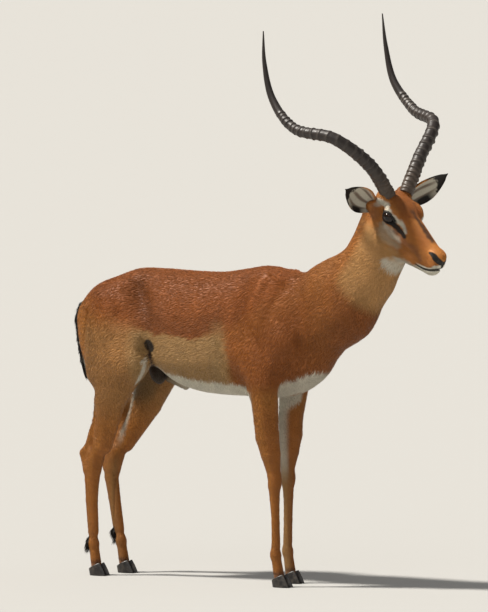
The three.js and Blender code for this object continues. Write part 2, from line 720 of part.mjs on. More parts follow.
const impala = new THREE.Group();
const standing = new THREE.Group();
for (const { name, made, finish } of pieces) {
  const mesh = new THREE.Mesh(geometryOf(made), finish);
  mesh.name = name;
  standing.add(mesh);
}
impala.add(standing);

// The part's origin is on the ground, under the middle of its box.
const box = new THREE.Box3().setFromObject(standing, true);
standing.position.set(-(box.min.x + box.max.x) / 2, -(box.min.y + box.max.y) / 2, -box.min.z);

export default impala;
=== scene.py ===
"""The looks of an adult impala ram: one skin with its coat, horns, eyes, ears and hooves.

The shapes are worked out in millimetres in the animal's own frame (x = 0 under the withers, the
ground at z = 0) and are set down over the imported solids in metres.
"""
import math

import bmesh
import bpy
import numpy as np
from mathutils import Matrix, Vector


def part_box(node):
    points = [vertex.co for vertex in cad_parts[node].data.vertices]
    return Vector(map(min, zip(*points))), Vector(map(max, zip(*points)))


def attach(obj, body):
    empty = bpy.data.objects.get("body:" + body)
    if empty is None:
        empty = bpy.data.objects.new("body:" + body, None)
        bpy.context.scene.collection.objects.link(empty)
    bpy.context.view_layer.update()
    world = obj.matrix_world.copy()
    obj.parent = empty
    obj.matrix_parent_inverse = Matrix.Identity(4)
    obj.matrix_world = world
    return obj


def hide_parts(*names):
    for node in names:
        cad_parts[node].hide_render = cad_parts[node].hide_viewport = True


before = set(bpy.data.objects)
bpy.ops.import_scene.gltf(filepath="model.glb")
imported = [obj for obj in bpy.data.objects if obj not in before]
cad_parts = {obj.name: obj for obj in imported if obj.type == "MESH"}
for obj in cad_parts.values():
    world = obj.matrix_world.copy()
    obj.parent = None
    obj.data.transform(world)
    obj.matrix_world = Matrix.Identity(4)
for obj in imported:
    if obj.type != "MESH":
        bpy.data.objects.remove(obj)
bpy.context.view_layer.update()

MM = 0.001
RIGHT, LEFT = -1, 1
SIDES = {"right": RIGHT, "left": LEFT}
rng = np.random.default_rng(41)

# ---------------------------------------------------------------- driving dimensions

SOFT_TRUNK, SOFT_SHOULDER, SOFT_LIMB, SOFT_JOINT, SOFT_BONE, SOFT_FACE = 46, 40, 22, 12, 3, 14
FAR = 1500

# The trunk at stations along X: underline, height of the widest place, topline, half width.
TRUNK = [
    (-654, 712, 740, 766, 18), (-632, 684, 735, 784, 40), (-600, 655, 728, 806, 62),
    (-540, 632, 722, 845, 86), (-456, 612, 715, 876, 100), (-360, 588, 700, 879, 109),
    (-300, 553, 690, 877, 119), (-230, 533, 680, 875, 126), (-146, 526, 680, 876, 126),
    (-60, 525, 690, 888, 117), (0, 524, 700, 897, 103), (60, 526, 700, 892, 94),
    (130, 545, 700, 866, 82), (190, 600, 700, 808, 60), (228, 655, 700, 745, 32),
]
NECK = [(150, 0, 742, 130), (264, 0, 806, 117), (353, 0, 885, 85), (402, 0, 964, 79), (414, 0, 1035, 72)]
NECK_FLAT = 0.64

# The head's own frame: along the face, out to the left and up from the brow.
HEAD_ORIGIN = np.array([417.0, -1.0, 1079.0])
HEAD_YAW, HEAD_ROLL, HEAD_PITCH = -13.3, 5.8, 32.0
EYE = np.array([75.0, 46.0, 14.0])
EYE_RADIUS = 19.0

HORN_ORIGIN = np.array([456.0, -10.0, 1100.0])
HORN_CORE = [(-12, 37, 17), (-5, 83, 95), (28, 176, 182), (152, 216, 213), (234, 219, 294), (256, 219, 391),
             (255, 215, 482)]
HORN_LEFT_WIDER = [0, 10, 5, 0, 0, 0, 0]
HORN_RADII = [20.5, 19.5, 18, 16.5, 14.5, 10.5, 6.5, 1.6]
HORN_SEAT = 14

EARS = {
    "right": dict(side=RIGHT, length=130, width=77, root=(0, 50, 0), along=(-0.17, 0.86, 0.5)),
    "left": dict(side=LEFT, length=164, width=88, root=(10, 56, -4), along=(0.2, 0.73, 0.75)),
}
EAR_SUNK, EAR_DEPTH = 12, 22

FOREFOOT_OUT, HINDFOOT_OUT = 63, 61
FORELEGS = {
    "right": dict(side=RIGHT, shoulder=112, elbow=40, forearm=54, knee=76, fetlock=80, hoof=101),
    "left": dict(side=LEFT, shoulder=104, elbow=22, forearm=27, knee=27, fetlock=25, hoof=44),
}
HINDLEGS = {
    "right": dict(side=RIGHT, gaskin=-506, hock=-581, shin=-583, ankle=-578, fetlock=-576, hoof=-558),
    "left": dict(side=LEFT, gaskin=-495, hock=-607, shin=-599, ankle=-583, fetlock=-574, hoof=-554),
}
KNEE_HEIGHT, HOCK_HEIGHT, FETLOCK_HEIGHT = 297, 331, 95
CLAW_LENGTH, CLAW_WIDTH, CLAW_TOE, CLAW_HEEL, CLAW_SLOPE, CLAW_APART = 56, 19, 33, 20, 27, 1.2

TAIL = [(-638, 0, 780), (-663, -4, 764), (-674, -8, 728), (-666, -10, 666), (-652, -12, 606),
        (-645, -12, 578)]
TAIL_RADII = (9, 9, 9, 9, 8, 6)
TAIL_FLAT = 1.7

# The camera looks at a point beside the body from far off, as through a long lens.
CAMERA_AZIMUTH, CAMERA_PITCH, CAMERA_DISTANCE = 38.0, 3.0, 25.0
CAMERA_TARGET = np.array([-0.082, 0.0, 0.779])
PIXELS_PER_METRE, PHOTO_HEIGHT = 356.0, 612

# The studio's light: azimuth, height, strength, softness and colour of each lamp.
KEY_LIGHT = (218, 56, 5.3, 6, (1.0, 0.955, 0.88))
FILL_LIGHT = (-60, 30, 0.35, 40, (0.94, 0.97, 1.0))
WORLD_STRENGTH = 0.40

CELL = 6.2  # spacing of the net that the skin is drawn from

# Pigments of the coat, as linear colours.
SADDLE = np.array([0.262, 0.074, 0.011])
TAN = np.array([0.360, 0.135, 0.024])
ORANGE = np.array([0.440, 0.165, 0.032])
BUFF = np.array([0.410, 0.252, 0.100])
WHITE = np.array([0.660, 0.620, 0.510])
GREY = np.array([0.330, 0.275, 0.190])
BROWN = np.array([0.090, 0.036, 0.018])
BLACK = np.array([0.009, 0.007, 0.006])


# ---------------------------------------------------------------- small mathematics

def unit(v):
    v = np.asarray(v, float)
    return v / np.maximum(np.linalg.norm(v, axis=-1, keepdims=True), 1e-9)


def smooth(x):
    x = np.clip(x, 0, 1)
    return x * x * (3 - 2 * x)


def above(value, level, width):
    """1 where value is over the level and 0 under it, with a soft edge of the width given."""
    return smooth((value - level) / width + 0.5)


def curve_at(x, stops):
    """A height along stops of (x, height), straight between them."""
    stops = np.array(stops, float)
    return np.interp(x, stops[:, 0], stops[:, 1])


def to_line(p, stops):
    """Distance from points to a line through stops, and how far along it (0 to 1) the nearest place is."""
    stops = np.array(stops, float)
    best = np.full(len(p), np.inf)
    share = np.zeros(len(p))
    for i in range(len(stops) - 1):
        step = stops[i + 1] - stops[i]
        t = np.clip((p - stops[i]) @ step / (step @ step), 0, 1)
        away = np.linalg.norm(p - stops[i] - t[:, None] * step, axis=1)
        nearer = away < best
        best = np.where(nearer, away, best)
        share = np.where(nearer, (i + t) / (len(stops) - 1), share)
    return best, share


def ripple(p, wavelength, seed=0):
    """Smooth made-up unevenness between about -1 and 1, from crossed waves."""
    turn = np.random.default_rng(900 + seed)
    total = np.zeros(len(p))
    for _ in range(6):
        heading = unit(turn.normal(size=3))
        waves = 2 * math.pi / (wavelength * turn.uniform(0.6, 1.6))
        total += np.sin(p @ heading * waves + turn.uniform(0, 6.3))
    return total / 3.2


def rotation(axis, degrees):
    return np.array(Matrix.Rotation(math.radians(degrees), 3, axis))


HEAD_TURN = rotation("Z", HEAD_YAW) @ rotation("X", HEAD_ROLL) @ rotation("Y", HEAD_PITCH)
HORN_TURN = rotation("Z", HEAD_YAW) @ rotation("X", HEAD_ROLL)


def from_head(q):
    return np.asarray(q, float) @ HEAD_TURN.T + HEAD_ORIGIN


def to_head(p):
    return (p - HEAD_ORIGIN) @ HEAD_TURN


# ---------------------------------------------------------------- masses of flesh

def soft_union(a, b, width):
    overlap = np.maximum(width - np.abs(a - b), 0) / width
    return np.minimum(a, b) - overlap ** 2 * width / 4


def soft_cut(a, b, width):
    return -soft_union(-a, -b, width)


def taper(start, end, radius_start, radius_end, flat=1.0):
    """A limb-like mass between two balls of different size, flattened sideways."""
    start = np.array(start, float)
    step = np.array(end, float) - start
    squared = step @ step

    def field(p):
        offset = p - start
        t = np.clip(offset @ step / squared, 0, 1)
        offset = offset - t[:, None] * step
        radius = radius_start + (radius_end - radius_start) * t
        squeezed = np.sqrt(offset[:, 0] ** 2 + (offset[:, 1] / flat) ** 2 + offset[:, 2] ** 2) + 1e-9
        return np.linalg.norm(offset, axis=1) * (1 - radius / squeezed)

    return field, start + step / 2, math.sqrt(squared) / 2 + max(radius_start, radius_end)


def egg(centre, radii, tip=0.0):
    """An egg-shaped mass, tipped nose-down by the degrees given."""
    centre = np.array(centre, float)
    radii = np.array(radii, float)
    turn = rotation("Y", tip)

    def field(p):
        offset = (p - centre) @ turn
        scaled = np.linalg.norm(offset / radii, axis=1) + 1e-9
        return np.linalg.norm(offset, axis=1) * (1 - 1 / scaled)

    return field, centre, radii.max()


def gather(forms):
    """Masses joined in turn, each with its own softness."""
    low = np.min([centre - reach for _, (_, centre, reach) in forms], axis=0)
    high = np.max([centre + reach for _, (_, centre, reach) in forms], axis=0)

    def field(p):
        distance = np.full(len(p), float(FAR))
        for soft, (form, centre, reach) in forms:
            away = np.linalg.norm(p - centre, axis=1) - reach
            near = np.nonzero(away < distance + soft)[0]
            if len(near):
                distance[near] = soft_union(distance[near], form(p[near]), soft)
        return distance

    return field, (low + high) / 2, np.linalg.norm(high - low) / 2


def chain(beads, flat, soft):
    pairs = zip(beads, beads[1:])
    return gather([(soft, taper(a[:3], b[:3], a[3], b[3], flat)) for a, b in pairs])


def barrel():
    """The body from rump to breast, by a smooth curve through the trunk's stations."""
    stations = np.array(TRUNK, float)
    xs, rows = stations[:, 0], stations[:, 1:]
    x = np.arange(xs[0], xs[-1] + 1)
    i = np.clip(np.searchsorted(xs, x) - 1, 0, len(xs) - 2)
    before, after = np.maximum(i - 1, 0), np.minimum(i + 2, len(xs) - 1)
    span = (xs[i + 1] - xs[i])[:, None]
    t = ((x - xs[i])[:, None] / span).clip(0, 1)
    slope_a = (rows[i + 1] - rows[before]) / (xs[i + 1] - xs[before])[:, None] * span
    slope_b = (rows[after] - rows[i]) / (xs[after] - xs[i])[:, None] * span
    rise = rows[i + 1] - rows[i]
    bend = slope_a + slope_b - 2 * rise
    table = rows[i] + t * slope_a + t * t * (rise - slope_a - bend) + t ** 3 * bend

    def field(p):
        inside = np.clip(p[:, 0], xs[0], xs[-1])
        low, wide, top, half = table[np.round(inside - xs[0]).astype(int)].T
        up = p[:, 2] - wide
        height = np.where(up > 0, top - wide, wide - low)
        scaled = np.hypot(p[:, 1] / half, up / height) + 1e-9
        across = np.hypot(p[:, 1], up) * (1 - 1 / scaled)
        beyond = np.abs(p[:, 0] - inside)
        return np.where(beyond > 0, np.hypot(np.maximum(across, 0), beyond), across)

    return field, np.array([(xs[0] + xs[-1]) / 2, 0, 700]), 520.0


def foot_forms(y, fetlock, hoof):
    pastern = [(fetlock + 1, y, FETLOCK_HEIGHT - 12, 14), (hoof - 8, y, 24, 16)]
    return [
        (SOFT_JOINT, egg((fetlock - 1, y, FETLOCK_HEIGHT), (15.5, 15, 20))),
        (SOFT_JOINT, chain(pastern, 1, SOFT_BONE)),
    ]


def hindleg_forms(side, gaskin, hock, shin, ankle, fetlock, hoof):
    def at(x, out, z, *radius):
        return (x, side * out, z, *radius)

    shank = [at(-448, 90, 600, 70), at(gaskin, 80, 492, 52), at(hock + 43, 67, 376, 33)]
    knob = [at(hock - 31, 62, HOCK_HEIGHT + 13, 12.5), at(hock - 15, 61, HOCK_HEIGHT - 30, 16)]
    tendon = [at(-545, 74, 500, 12), at(hock + 14, 70, 430, 9.5), at(hock - 9, 65, 376, 9.5),
              at(hock - 29, 62, 350, 10.5)]
    web = [at(-538, 76, 480, 26), at(hock + 14, 66, 384, 26)]
    cannon = [at(hock + 14, 62, HOCK_HEIGHT + 14, 30), at(hock + 2, 61, HOCK_HEIGHT - 31, 27),
              at(hock - 1, 61, HOCK_HEIGHT - 59, 23.5), at(shin, HINDFOOT_OUT, 214, 19.5),
              at(ankle, HINDFOOT_OUT, 125, 18)]
    return [
        (SOFT_TRUNK, egg(at(-500, 54, 750), (106, 50, 84), 18)),
        (SOFT_SHOULDER, egg(at(-508, 74, 690), (92, 52, 108), -8)),
        (SOFT_SHOULDER, chain([at(-450, 74, 740, 70), at(-408, 92, 622, 50)], 0.72, SOFT_LIMB)),
        (SOFT_SHOULDER, chain([at(-572, 60, 730, 48), at(-543, 76, 580, 42)], 0.8, SOFT_LIMB)),
        (SOFT_SHOULDER, chain(shank, 0.62, SOFT_BONE)),
        (SOFT_JOINT, chain(web, 0.3, SOFT_BONE)),
        (SOFT_JOINT, chain(tendon, 0.8, SOFT_BONE)),
        (SOFT_JOINT, chain(cannon, 0.74, SOFT_BONE)),
        (SOFT_JOINT, chain(knob, 0.8, SOFT_BONE)),
        *foot_forms(side * HINDFOOT_OUT, fetlock, hoof),
    ]


def foreleg_forms(side, shoulder, elbow, forearm, knee, fetlock, hoof):
    def at(x, out, z, *radius):
        return (x, side * out, z, *radius)

    arm = [at(elbow + 12, 82, 560, 46), at(forearm, 74, 466, 38), at(forearm + 2, 71, 420, 36),
           at((forearm + knee) / 2, 67, 372, 30), at(knee - 3, FOREFOOT_OUT, 318, 21)]
    cannon = [at(knee - 1, FOREFOOT_OUT, 278, 18), at(knee, FOREFOOT_OUT, 244, 15),
              at((knee + fetlock) / 2, FOREFOOT_OUT, 180, 13.5), at(fetlock, FOREFOOT_OUT, 120, 14)]
    return [
        (SOFT_TRUNK, egg(at(58, 66, 760), (78, 32, 128), -16)),
        (SOFT_SHOULDER, chain([at(shoulder, 70, 690, 50), at(elbow + 10, 80, 590, 44)], 0.74, SOFT_LIMB)),
        (SOFT_SHOULDER, egg(at(elbow - 22, 78, 640), (50, 28, 72), -14)),
        (SOFT_LIMB, chain(arm, 0.84, SOFT_BONE)),
        (SOFT_LIMB, egg(at(elbow - 20, 82, 552), (20, 16, 28))),
        (SOFT_JOINT, egg(at(knee, FOREFOOT_OUT, KNEE_HEIGHT), (19, 19, 27))),
        (SOFT_JOINT, chain(cannon, 0.9, SOFT_BONE)),
        *foot_forms(side * FOREFOOT_OUT, fetlock, hoof),
    ]


def head_forms():
    def pair(soft, make):
        return [(soft, make(side)) for side in SIDES.values()]

    return gather([
        (SOFT_FACE, egg((48, 0, 2), (62, 45, 47))),
        (SOFT_LIMB, egg((62, 0, 28), (50, 42, 30), 6)),
        *pair(SOFT_FACE, lambda s: egg((71, s * 37, EYE[2]), (31, 20, 27), 10)),
        *pair(SOFT_FACE, lambda s: egg((85, s * 40, 24), (28, 15, 17), 10)),
        (SOFT_LIMB, taper((104, 0, 0), (255, 0, -13), 44, 23, 0.8)),
        *pair(SOFT_LIMB, lambda s: taper((78, s * 38, -14), (160, s * 24, -14), 16, 12)),
        *pair(SOFT_LIMB, lambda s: taper((84, s * 24, -76), (240, s * 6, -51), 31, 19, 0.72)),
        *pair(SOFT_LIMB, lambda s: taper((100, s * 24, -40), (214, s * 8, -28), 29, 19, 0.72)),
        *pair(SOFT_LIMB, lambda s: egg((80, s * 32, -44), (46, 15, 48), 24)),
        (SOFT_FACE, egg((255, 0, -6), (22, 20, 18))),
        (SOFT_FACE, egg((254, 0, -28), (24, 18, 14))),
        (SOFT_FACE, egg((243, 0, -52), (25, 13, 13))),
        *pair(SOFT_FACE, lambda s: taper((18, s * 26, 18), (22, s * 35, 42), 24, 25)),
        *[(SOFT_FACE, taper((8, ear["side"] * 34, 2),
                            (ear["root"][0], ear["side"] * ear["root"][1], ear["root"][2]), 20, 17))
          for ear in EARS.values()],
    ])


def turned_head():
    form, centre, reach = head_forms()
    return lambda p: form(to_head(p)), from_head(centre), reach


BODY = gather([
    (SOFT_TRUNK, barrel()),
    (SOFT_TRUNK, chain(NECK, NECK_FLAT, SOFT_SHOULDER)),
    (SOFT_TRUNK, egg((150, 0, 640), (64, 56, 74), 30)),
    (SOFT_LIMB, turned_head()),
    *[form for leg in HINDLEGS.values() for form in hindleg_forms(**leg)],
    *[form for leg in FORELEGS.values() for form in foreleg_forms(**leg)],
    (SOFT_LIMB, taper((-352, 0, 568), (-290, 0, 543), 14, 9)),
    (SOFT_JOINT, egg((-392, 0, 583), (26, 24, 38), -20)),
    (6, chain([(*place, radius) for place, radius in zip(TAIL, TAIL_RADII)], TAIL_FLAT, 6)),
])[0]


# ---------------------------------------------------------------- folds and hollows of the skin

# Where the skin swells (+) or sinks (-) on both sides of the body:
# x, distance out, z, then how far it reaches each way, the lean of that reach, and by how much.
BODY_RELIEF = [
    (-398, 104, 800, 34, 60, 52, 35, -9),     # the hollow in front of the hip
    (-442, 120, 745, 30, 50, 42, 35, -8),     # where it runs down in front of the thigh
    (-462, 92, 850, 40, 40, 24, 0, 5),        # the point of the hip
    (-300, 122, 740, 56, 50, 46, -20, 5),     # the last ribs and the belly's wall
    (-360, 100, 655, 20, 30, 34, 15, -9),     # the fold of the flank
    (-395, 108, 640, 36, 34, 70, -20, 4),     # the front of the thigh
    (-520, 100, 800, 44, 40, 30, 20, 5),      # the croup's muscle
    (-566, 96, 690, 10, 50, 96, -10, -4),     # between the two muscles at the back of the thigh
    (-505, 110, 640, 40, 44, 60, 0, 4),       # the thigh
    (-556, 76, 452, 15, 40, 50, -18, -8),     # before the tendon above the hock
    (96, 90, 808, 16, 40, 80, -24, -5),       # in front of the shoulder blade
    (40, 84, 830, 12, 40, 70, -22, 4),        # the blade's own ridge
    (-10, 92, 800, 20, 40, 66, -20, -4),      # behind the ridge
    (112, 84, 690, 34, 40, 34, 0, 6),         # the point of the shoulder
    (-28, 100, 650, 40, 40, 56, 20, 5),       # the long muscle above the elbow
    (-76, 104, 640, 14, 44, 84, 24, -7),      # behind it
    (34, 96, 700, 14, 40, 60, 30, -4),        # between it and the arm
    (165, 66, 700, 18, 40, 80, 40, -5),       # where the neck meets the shoulder
    (-20, 104, 566, 16, 30, 18, 0, 4),        # the elbow
    (-30, 96, 530, 20, 26, 16, 0, -3),        # under the elbow
]


RELIEF_ABOVE = 0.5  # how much stronger the forms of the trunk stand than those of the legs


# The hollow before the thigh, as places seen from the side; the skin sinks along it, and the coat is darkened
# along it as painted shade.
HIP_HOLLOW = [(-404, 824), (-366, 782), (-328, 734)]


def relief(p):
    """How far the skin swells out of the plain masses of the trunk and legs."""
    out = np.abs(p[:, 1])
    total = np.zeros(len(p))
    for x, y, z, rx, ry, rz, lean, amount in BODY_RELIEF:
        c, s = math.cos(math.radians(lean)), math.sin(math.radians(lean))
        dx, dz = p[:, 0] - x, p[:, 2] - z
        far = ((dx * c + dz * s) / rx) ** 2 + ((out - y) / ry) ** 2 + ((dz * c - dx * s) / rz) ** 2
        total += amount * np.exp(-far)
    hip, _ = to_line(p[:, [0, 2]], HIP_HOLLOW)
    total -= 5 * np.exp(-(hip / 20) ** 2) * above(out, 40, 30)
    return (1 + RELIEF_ABOVE * above(p[:, 2], 600, 100)) * total + leg_relief(p)


def leg_relief(p):
    """Tendons, bones and hollows below the knees and hocks."""
    total = np.zeros(len(p))
    low = np.nonzero(p[:, 2] < 400)[0]
    if not len(low):
        return total
    q = p[low]
    found = np.zeros(len(q))
    for leg in FORELEGS.values():
        y = leg["side"] * FOREFOOT_OUT
        near = np.exp(-((q[:, 0] - leg["knee"]) / 60) ** 4 - ((q[:, 1] - y) / 34) ** 4)
        groove = (np.exp(-((q[:, 0] - leg["knee"] + 7) / 3.2) ** 2) * above(q[:, 2], 120, 30)
                  * above(-q[:, 2], -262, 20))
        bone = np.exp(-((q[:, 2] - KNEE_HEIGHT) / 13) ** 2) * above(q[:, 0], leg["knee"] + 8, 10)
        found += near * (-2.4 * groove + 1.8 * bone)
    for leg in HINDLEGS.values():
        y = leg["side"] * HINDFOOT_OUT
        near = np.exp(-((q[:, 0] + 584) / 70) ** 4 - ((q[:, 1] - y) / 34) ** 4)
        groove = np.exp(-((q[:, 0] + 590) / 3.4) ** 2) * above(q[:, 2], 125, 30) * above(-q[:, 2], -286, 20)
        hollow = np.exp(-((q[:, 0] - leg["hock"] - 8) / 6) ** 2 - ((q[:, 2] - 372) / 26) ** 2)
        knob = np.exp(-((q[:, 0] - leg["hock"] - 20) / 10) ** 2 - ((q[:, 2] - 330) / 11) ** 2)
        found += near * (-2.4 * groove - 5 * hollow + 2 * knob)
    for legs, y0 in ((FORELEGS, FOREFOOT_OUT), (HINDLEGS, HINDFOOT_OUT)):
        for leg in legs.values():
            offset = q - (leg["hoof"] - 2, leg["side"] * y0, 44)
            cleft = np.exp(-(offset[:, 1] / 2.6) ** 2 - (offset[:, 2] / 17) ** 2 - (offset[:, 0] / 30) ** 4)
            found -= 4.5 * cleft * above(offset[:, 0], 2, 12)
    total[low] = found
    return total


# The eye's own directions in the head's frame: outwards, along the slit to the nose, and up.
GAZE = unit((0.30, 0.93, 0.14))
SLIT = unit(np.array((0.94, -0.24, -0.26)) - GAZE * (np.array((0.94, -0.24, -0.26)) @ GAZE))
BROWWARD = unit(np.cross(SLIT, GAZE))
SLIT_FRONT, SLIT_REAR, LID_UP, LID_DOWN = 72.0, 62.0, 34.0, 38.0

MOUTH = [(198, -63), (216, -61), (236, -57), (254, -50), (268, -41), (279, -32)]
NOSE_PAD = [(236, 22, -2), (245, 23, 2), (256, 21, 0), (268, 18, -6), (277, 9, -11),
            (279, 0, -15), (278, 0, -30)]
TEAR = [(95, 52, 9), (106, 48, 5), (118, 44, 1), (132, 41, -3), (147, 40, -7)]


def eye_angles(q):
    """Where points lie round the eye: angle along the slit, angle above it and distance from its middle."""
    offset = np.c_[q[:, 0], np.abs(q[:, 1]), q[:, 2]] - EYE
    ahead, along, up = offset @ GAZE, offset @ SLIT, offset @ BROWWARD
    turn = np.degrees(np.arctan2(along, ahead))
    rise = np.degrees(np.arctan2(up, np.hypot(along, ahead)))
    return turn, rise, np.linalg.norm(offset, axis=1)


def lid_edges(turn):
    """The rise of the upper and the lower lid's edge at each angle along the slit."""
    share = 1 - (turn / np.where(turn > 0, SLIT_FRONT, SLIT_REAR)) ** 2
    return LID_UP * share, -LID_DOWN * share


def face(distance, q):
    """Lids, nostrils, mouth and the forms of the face, added to a field in the head's frame."""
    side = np.c_[q[:, 0], np.abs(q[:, 1]), q[:, 2]]
    turn, rise, reach = eye_angles(q)
    upper, lower = lid_edges(turn)
    per_degree = math.radians(EYE_RADIUS + 2)
    lids = soft_union(distance, reach - (EYE_RADIUS + 3.2), 9)
    fold = np.exp(-((rise - upper - 15) / 3.2) ** 2) * above(-np.abs(turn), -50, 20) * (reach < 40)
    under = np.exp(-((rise - lower + 13) / 3.0) ** 2) * above(-np.abs(turn), -46, 20) * (reach < 40)
    lids = lids + 1.5 * fold + 1.0 * under
    opening = per_degree * np.maximum(rise - upper, lower - rise)
    opening = np.where(np.abs(turn) > 85, 20.0, opening)
    lids = soft_cut(lids, -opening, 1.6)
    d = np.minimum(lids, reach - (EYE_RADIUS - 1.6))

    def dent(centre, radii, amount):
        return amount * np.exp(-(((side - centre) / radii) ** 2).sum(1))

    d = d + dent((36, 50, 8), (16, 14, 14), 4)            # the temple
    d = d + dent((112, 46, -14), (20, 12, 8), 2)          # under the tear line
    d = d - dent((128, 44, -26), (40, 12, 7), 2.5)        # the cheekbone
    d = d + dent((150, 34, -48), (46, 14, 12), 2.5)       # between cheekbone and jaw
    d = d + dent((188, 26, -2), (36, 12, 12), 2)          # the hollow of the muzzle's side
    d = d - dent((246, 22, -2), (16, 10, 12), 3)          # the wing of the nostril
    d = d - dent((222, 24, -34), (26, 10, 9), 2)          # the upper lip's cushion
    d = d + dent((118, 0, 50), (26, 12, 12), 2)           # the dip between the brows
    d = d - dent((160, 0, 40), (50, 9, 14), 1.5)          # the bridge of the nose
    tear, _ = to_line(side, TEAR)
    d = d + 1.8 * np.exp(-(tear / 3.6) ** 2)
    jaw, _ = to_line(side, [(40, 54, -20), (52, 54, -60), (74, 48, -100)])
    d = d + 5 * np.exp(-(jaw / 10) ** 2)
    line, share = to_line(q[:, [0, 2]], MOUTH)
    d = d + 2.6 * np.exp(-(line / 1.8) ** 2) * smooth(share * 8)
    below, share = to_line(q[:, [0, 2]], [(x, z - 6) for x, z in MOUTH])
    d = d - 1.2 * np.exp(-(below / 4) ** 2) * smooth(share * 3)
    d = d + 1.6 * np.exp(-(q[:, 1] / 1.8) ** 2) * above(q[:, 0], 268, 10) * above(q[:, 2], -36, 8)
    nostril, share = to_line(side, [(238, 25, 0), (246, 24, 3), (257, 21, 0), (268, 17, -6)])
    d = d + 7.5 * np.exp(-(nostril / (2.2 + 2.6 * share)) ** 2)
    return d


HEAD_REACH = 330.0


def coat_depth(p):
    """How deep the coat stands over the skin."""
    head = above(-np.linalg.norm(p - from_head((120, 0, -20)), axis=1), -230, 60)
    shank = above(-p[:, 2], -460, 200)
    return 3.4 - 2.2 * np.maximum(head, shank)


def skin(p):
    """The field whose zero is the skin."""
    distance = BODY(p)
    near = np.nonzero(np.linalg.norm(p - from_head((110, 0, -20)), axis=1) < HEAD_REACH)[0]
    if len(near):
        q = to_head(p[near])
        inside = q[:, 0] > -6
        near, q = near[inside], q[inside]
        shown = face(distance[near], q)
        fade = smooth((q[:, 0] + 6) / 20)
        distance[near] = distance[near] + (shown - distance[near]) * fade
    return distance + coat_depth(p) - relief(p)


def slope(field, p, step=0.5):
    here = field(p)
    parts = [(field(p + np.eye(3)[axis] * step) - here) / step for axis in range(3)]
    return here, np.stack(parts, axis=1)


def settle(field, p, passes=3, reach=3.0):
    """Moves points onto the field's zero."""
    for _ in range(passes):
        here, rise = slope(field, p)
        squared = np.maximum((rise ** 2).sum(1), 0.25)
        move = rise * (here / squared)[:, None]
        size = np.linalg.norm(move, axis=1, keepdims=True)
        p = p - move * np.minimum(1, reach / np.maximum(size, 1e-9))
    return p


# ---------------------------------------------------------------- the skin's net

def skin_net():
    """The skin as a net of quads, one corner for each cell that the skin runs through."""
    low = np.array([-700.0, -160.0, 6.0])
    high = np.array([700.0, 160.0, 1190.0])
    block = 4
    counts = (np.ceil((high - low) / (CELL * block)).astype(int)) * block
    coarse_counts = counts // block + 1
    index = np.stack(np.meshgrid(*[np.arange(n) for n in coarse_counts], indexing="ij"), -1).reshape(-1, 3)
    coarse = skin(low + index * CELL * block).reshape(coarse_counts)
    values = np.repeat(np.repeat(np.repeat(coarse, block, 0), block, 1), block, 2)
    values = values[:counts[0] + 1, :counts[1] + 1, :counts[2] + 1].astype(np.float64)
    near = np.abs(coarse) < CELL * block * 1.5
    reach = near.copy()
    for axis in range(3):
        for shift in (1, -1):
            reach |= np.roll(near, shift, axis)
    wanted = np.repeat(np.repeat(np.repeat(reach, block, 0), block, 1), block, 2)
    wanted = wanted[:counts[0] + 1, :counts[1] + 1, :counts[2] + 1]
    where = np.argwhere(wanted)
    values[tuple(where.T)] = skin(low + where * CELL)
    return net_of(values, low)


def net_of(values, low):
    inside = values < 0
    shape = np.array(values.shape) - 1
    corners = [(i, j, k) for i in (0, 1) for j in (0, 1) for k in (0, 1)]

    def part(array, corner):
        return array[tuple(slice(c, c + n) for c, n in zip(corner, shape))]

    count = sum(part(inside, corner).astype(int) for corner in corners)
    cells = np.argwhere((count > 0) & (count < 8))
    number = np.full(shape, -1)
    number[tuple(cells.T)] = np.arange(len(cells))
    at = {corner: values[tuple((cells + corner).T)] for corner in corners}
    total = np.zeros((len(cells), 3))
    hits = np.zeros(len(cells))
    for a in corners:
        for axis in range(3):
            if a[axis]:
                continue
            b = tuple(1 if i == axis else c for i, c in enumerate(a))
            crosses = (at[a] < 0) != (at[b] < 0)
            t = np.where(crosses, at[a] / np.where(crosses, at[a] - at[b], 1), 0)
            place = np.array(a, float) + t[:, None] * np.eye(3)[axis]
            total += place * crosses[:, None]
            hits += crosses
    points = low + (cells + total / hits[:, None]) * CELL
    quads = []
    for axis in range(3):
        u, v = [a for a in range(3) if a != axis]
        step = np.eye(3, dtype=int)
        first = inside[tuple(slice(0, n) for n in np.array(values.shape) - step[axis])]
        second = inside[tuple(slice(s, None) for s in step[axis])]
        edges = np.argwhere(first != second)
        edges = edges[(edges[:, u] > 0) & (edges[:, v] > 0)
                      & (edges[:, u] < shape[u]) & (edges[:, v] < shape[v])]
        outward = first[tuple(edges.T)]
        ring = [edges - step[u] - step[v], edges - step[v], edges, edges - step[u]]
        quad = np.stack([number[tuple(cell.T)] for cell in ring], axis=1)
        if axis == 1:
            outward = ~outward
        quads.append(np.where(outward[:, None], quad, quad[:, ::-1]))
    return points, np.concatenate(quads)


def relax(points, edges, passes, field, amount=0.5):
    """Evens out the net's corners along the skin."""
    count = np.bincount(edges.ravel(), minlength=len(points))[:, None]
    for _ in range(passes):
        total = np.zeros_like(points)
        for a, b in ((0, 1), (1, 0)):
            for axis in range(3):
                total[:, axis] += np.bincount(edges[:, a], points[edges[:, b], axis], minlength=len(points))
        pull = total / np.maximum(count, 1) - points
        _, rise = slope(field, points)
        normal = unit(rise)
        pull -= normal * (pull * normal).sum(1)[:, None]
        points = points + pull * amount
    return points


def refined(bm, chosen):
    """Splits the faces of a net whose middle is chosen, and turns what is not a quad into triangles."""
    middles = np.array([face.calc_center_median() for face in bm.faces])
    keep = chosen(middles)
    edges = {edge for face, kept in zip(bm.faces, keep) if kept for edge in face.edges}
    bmesh.ops.subdivide_edges(bm, edges=list(edges), cuts=1, use_grid_fill=True)
    odd = [face for face in bm.faces if len(face.verts) > 4]
    bmesh.ops.triangulate(bm, faces=odd)


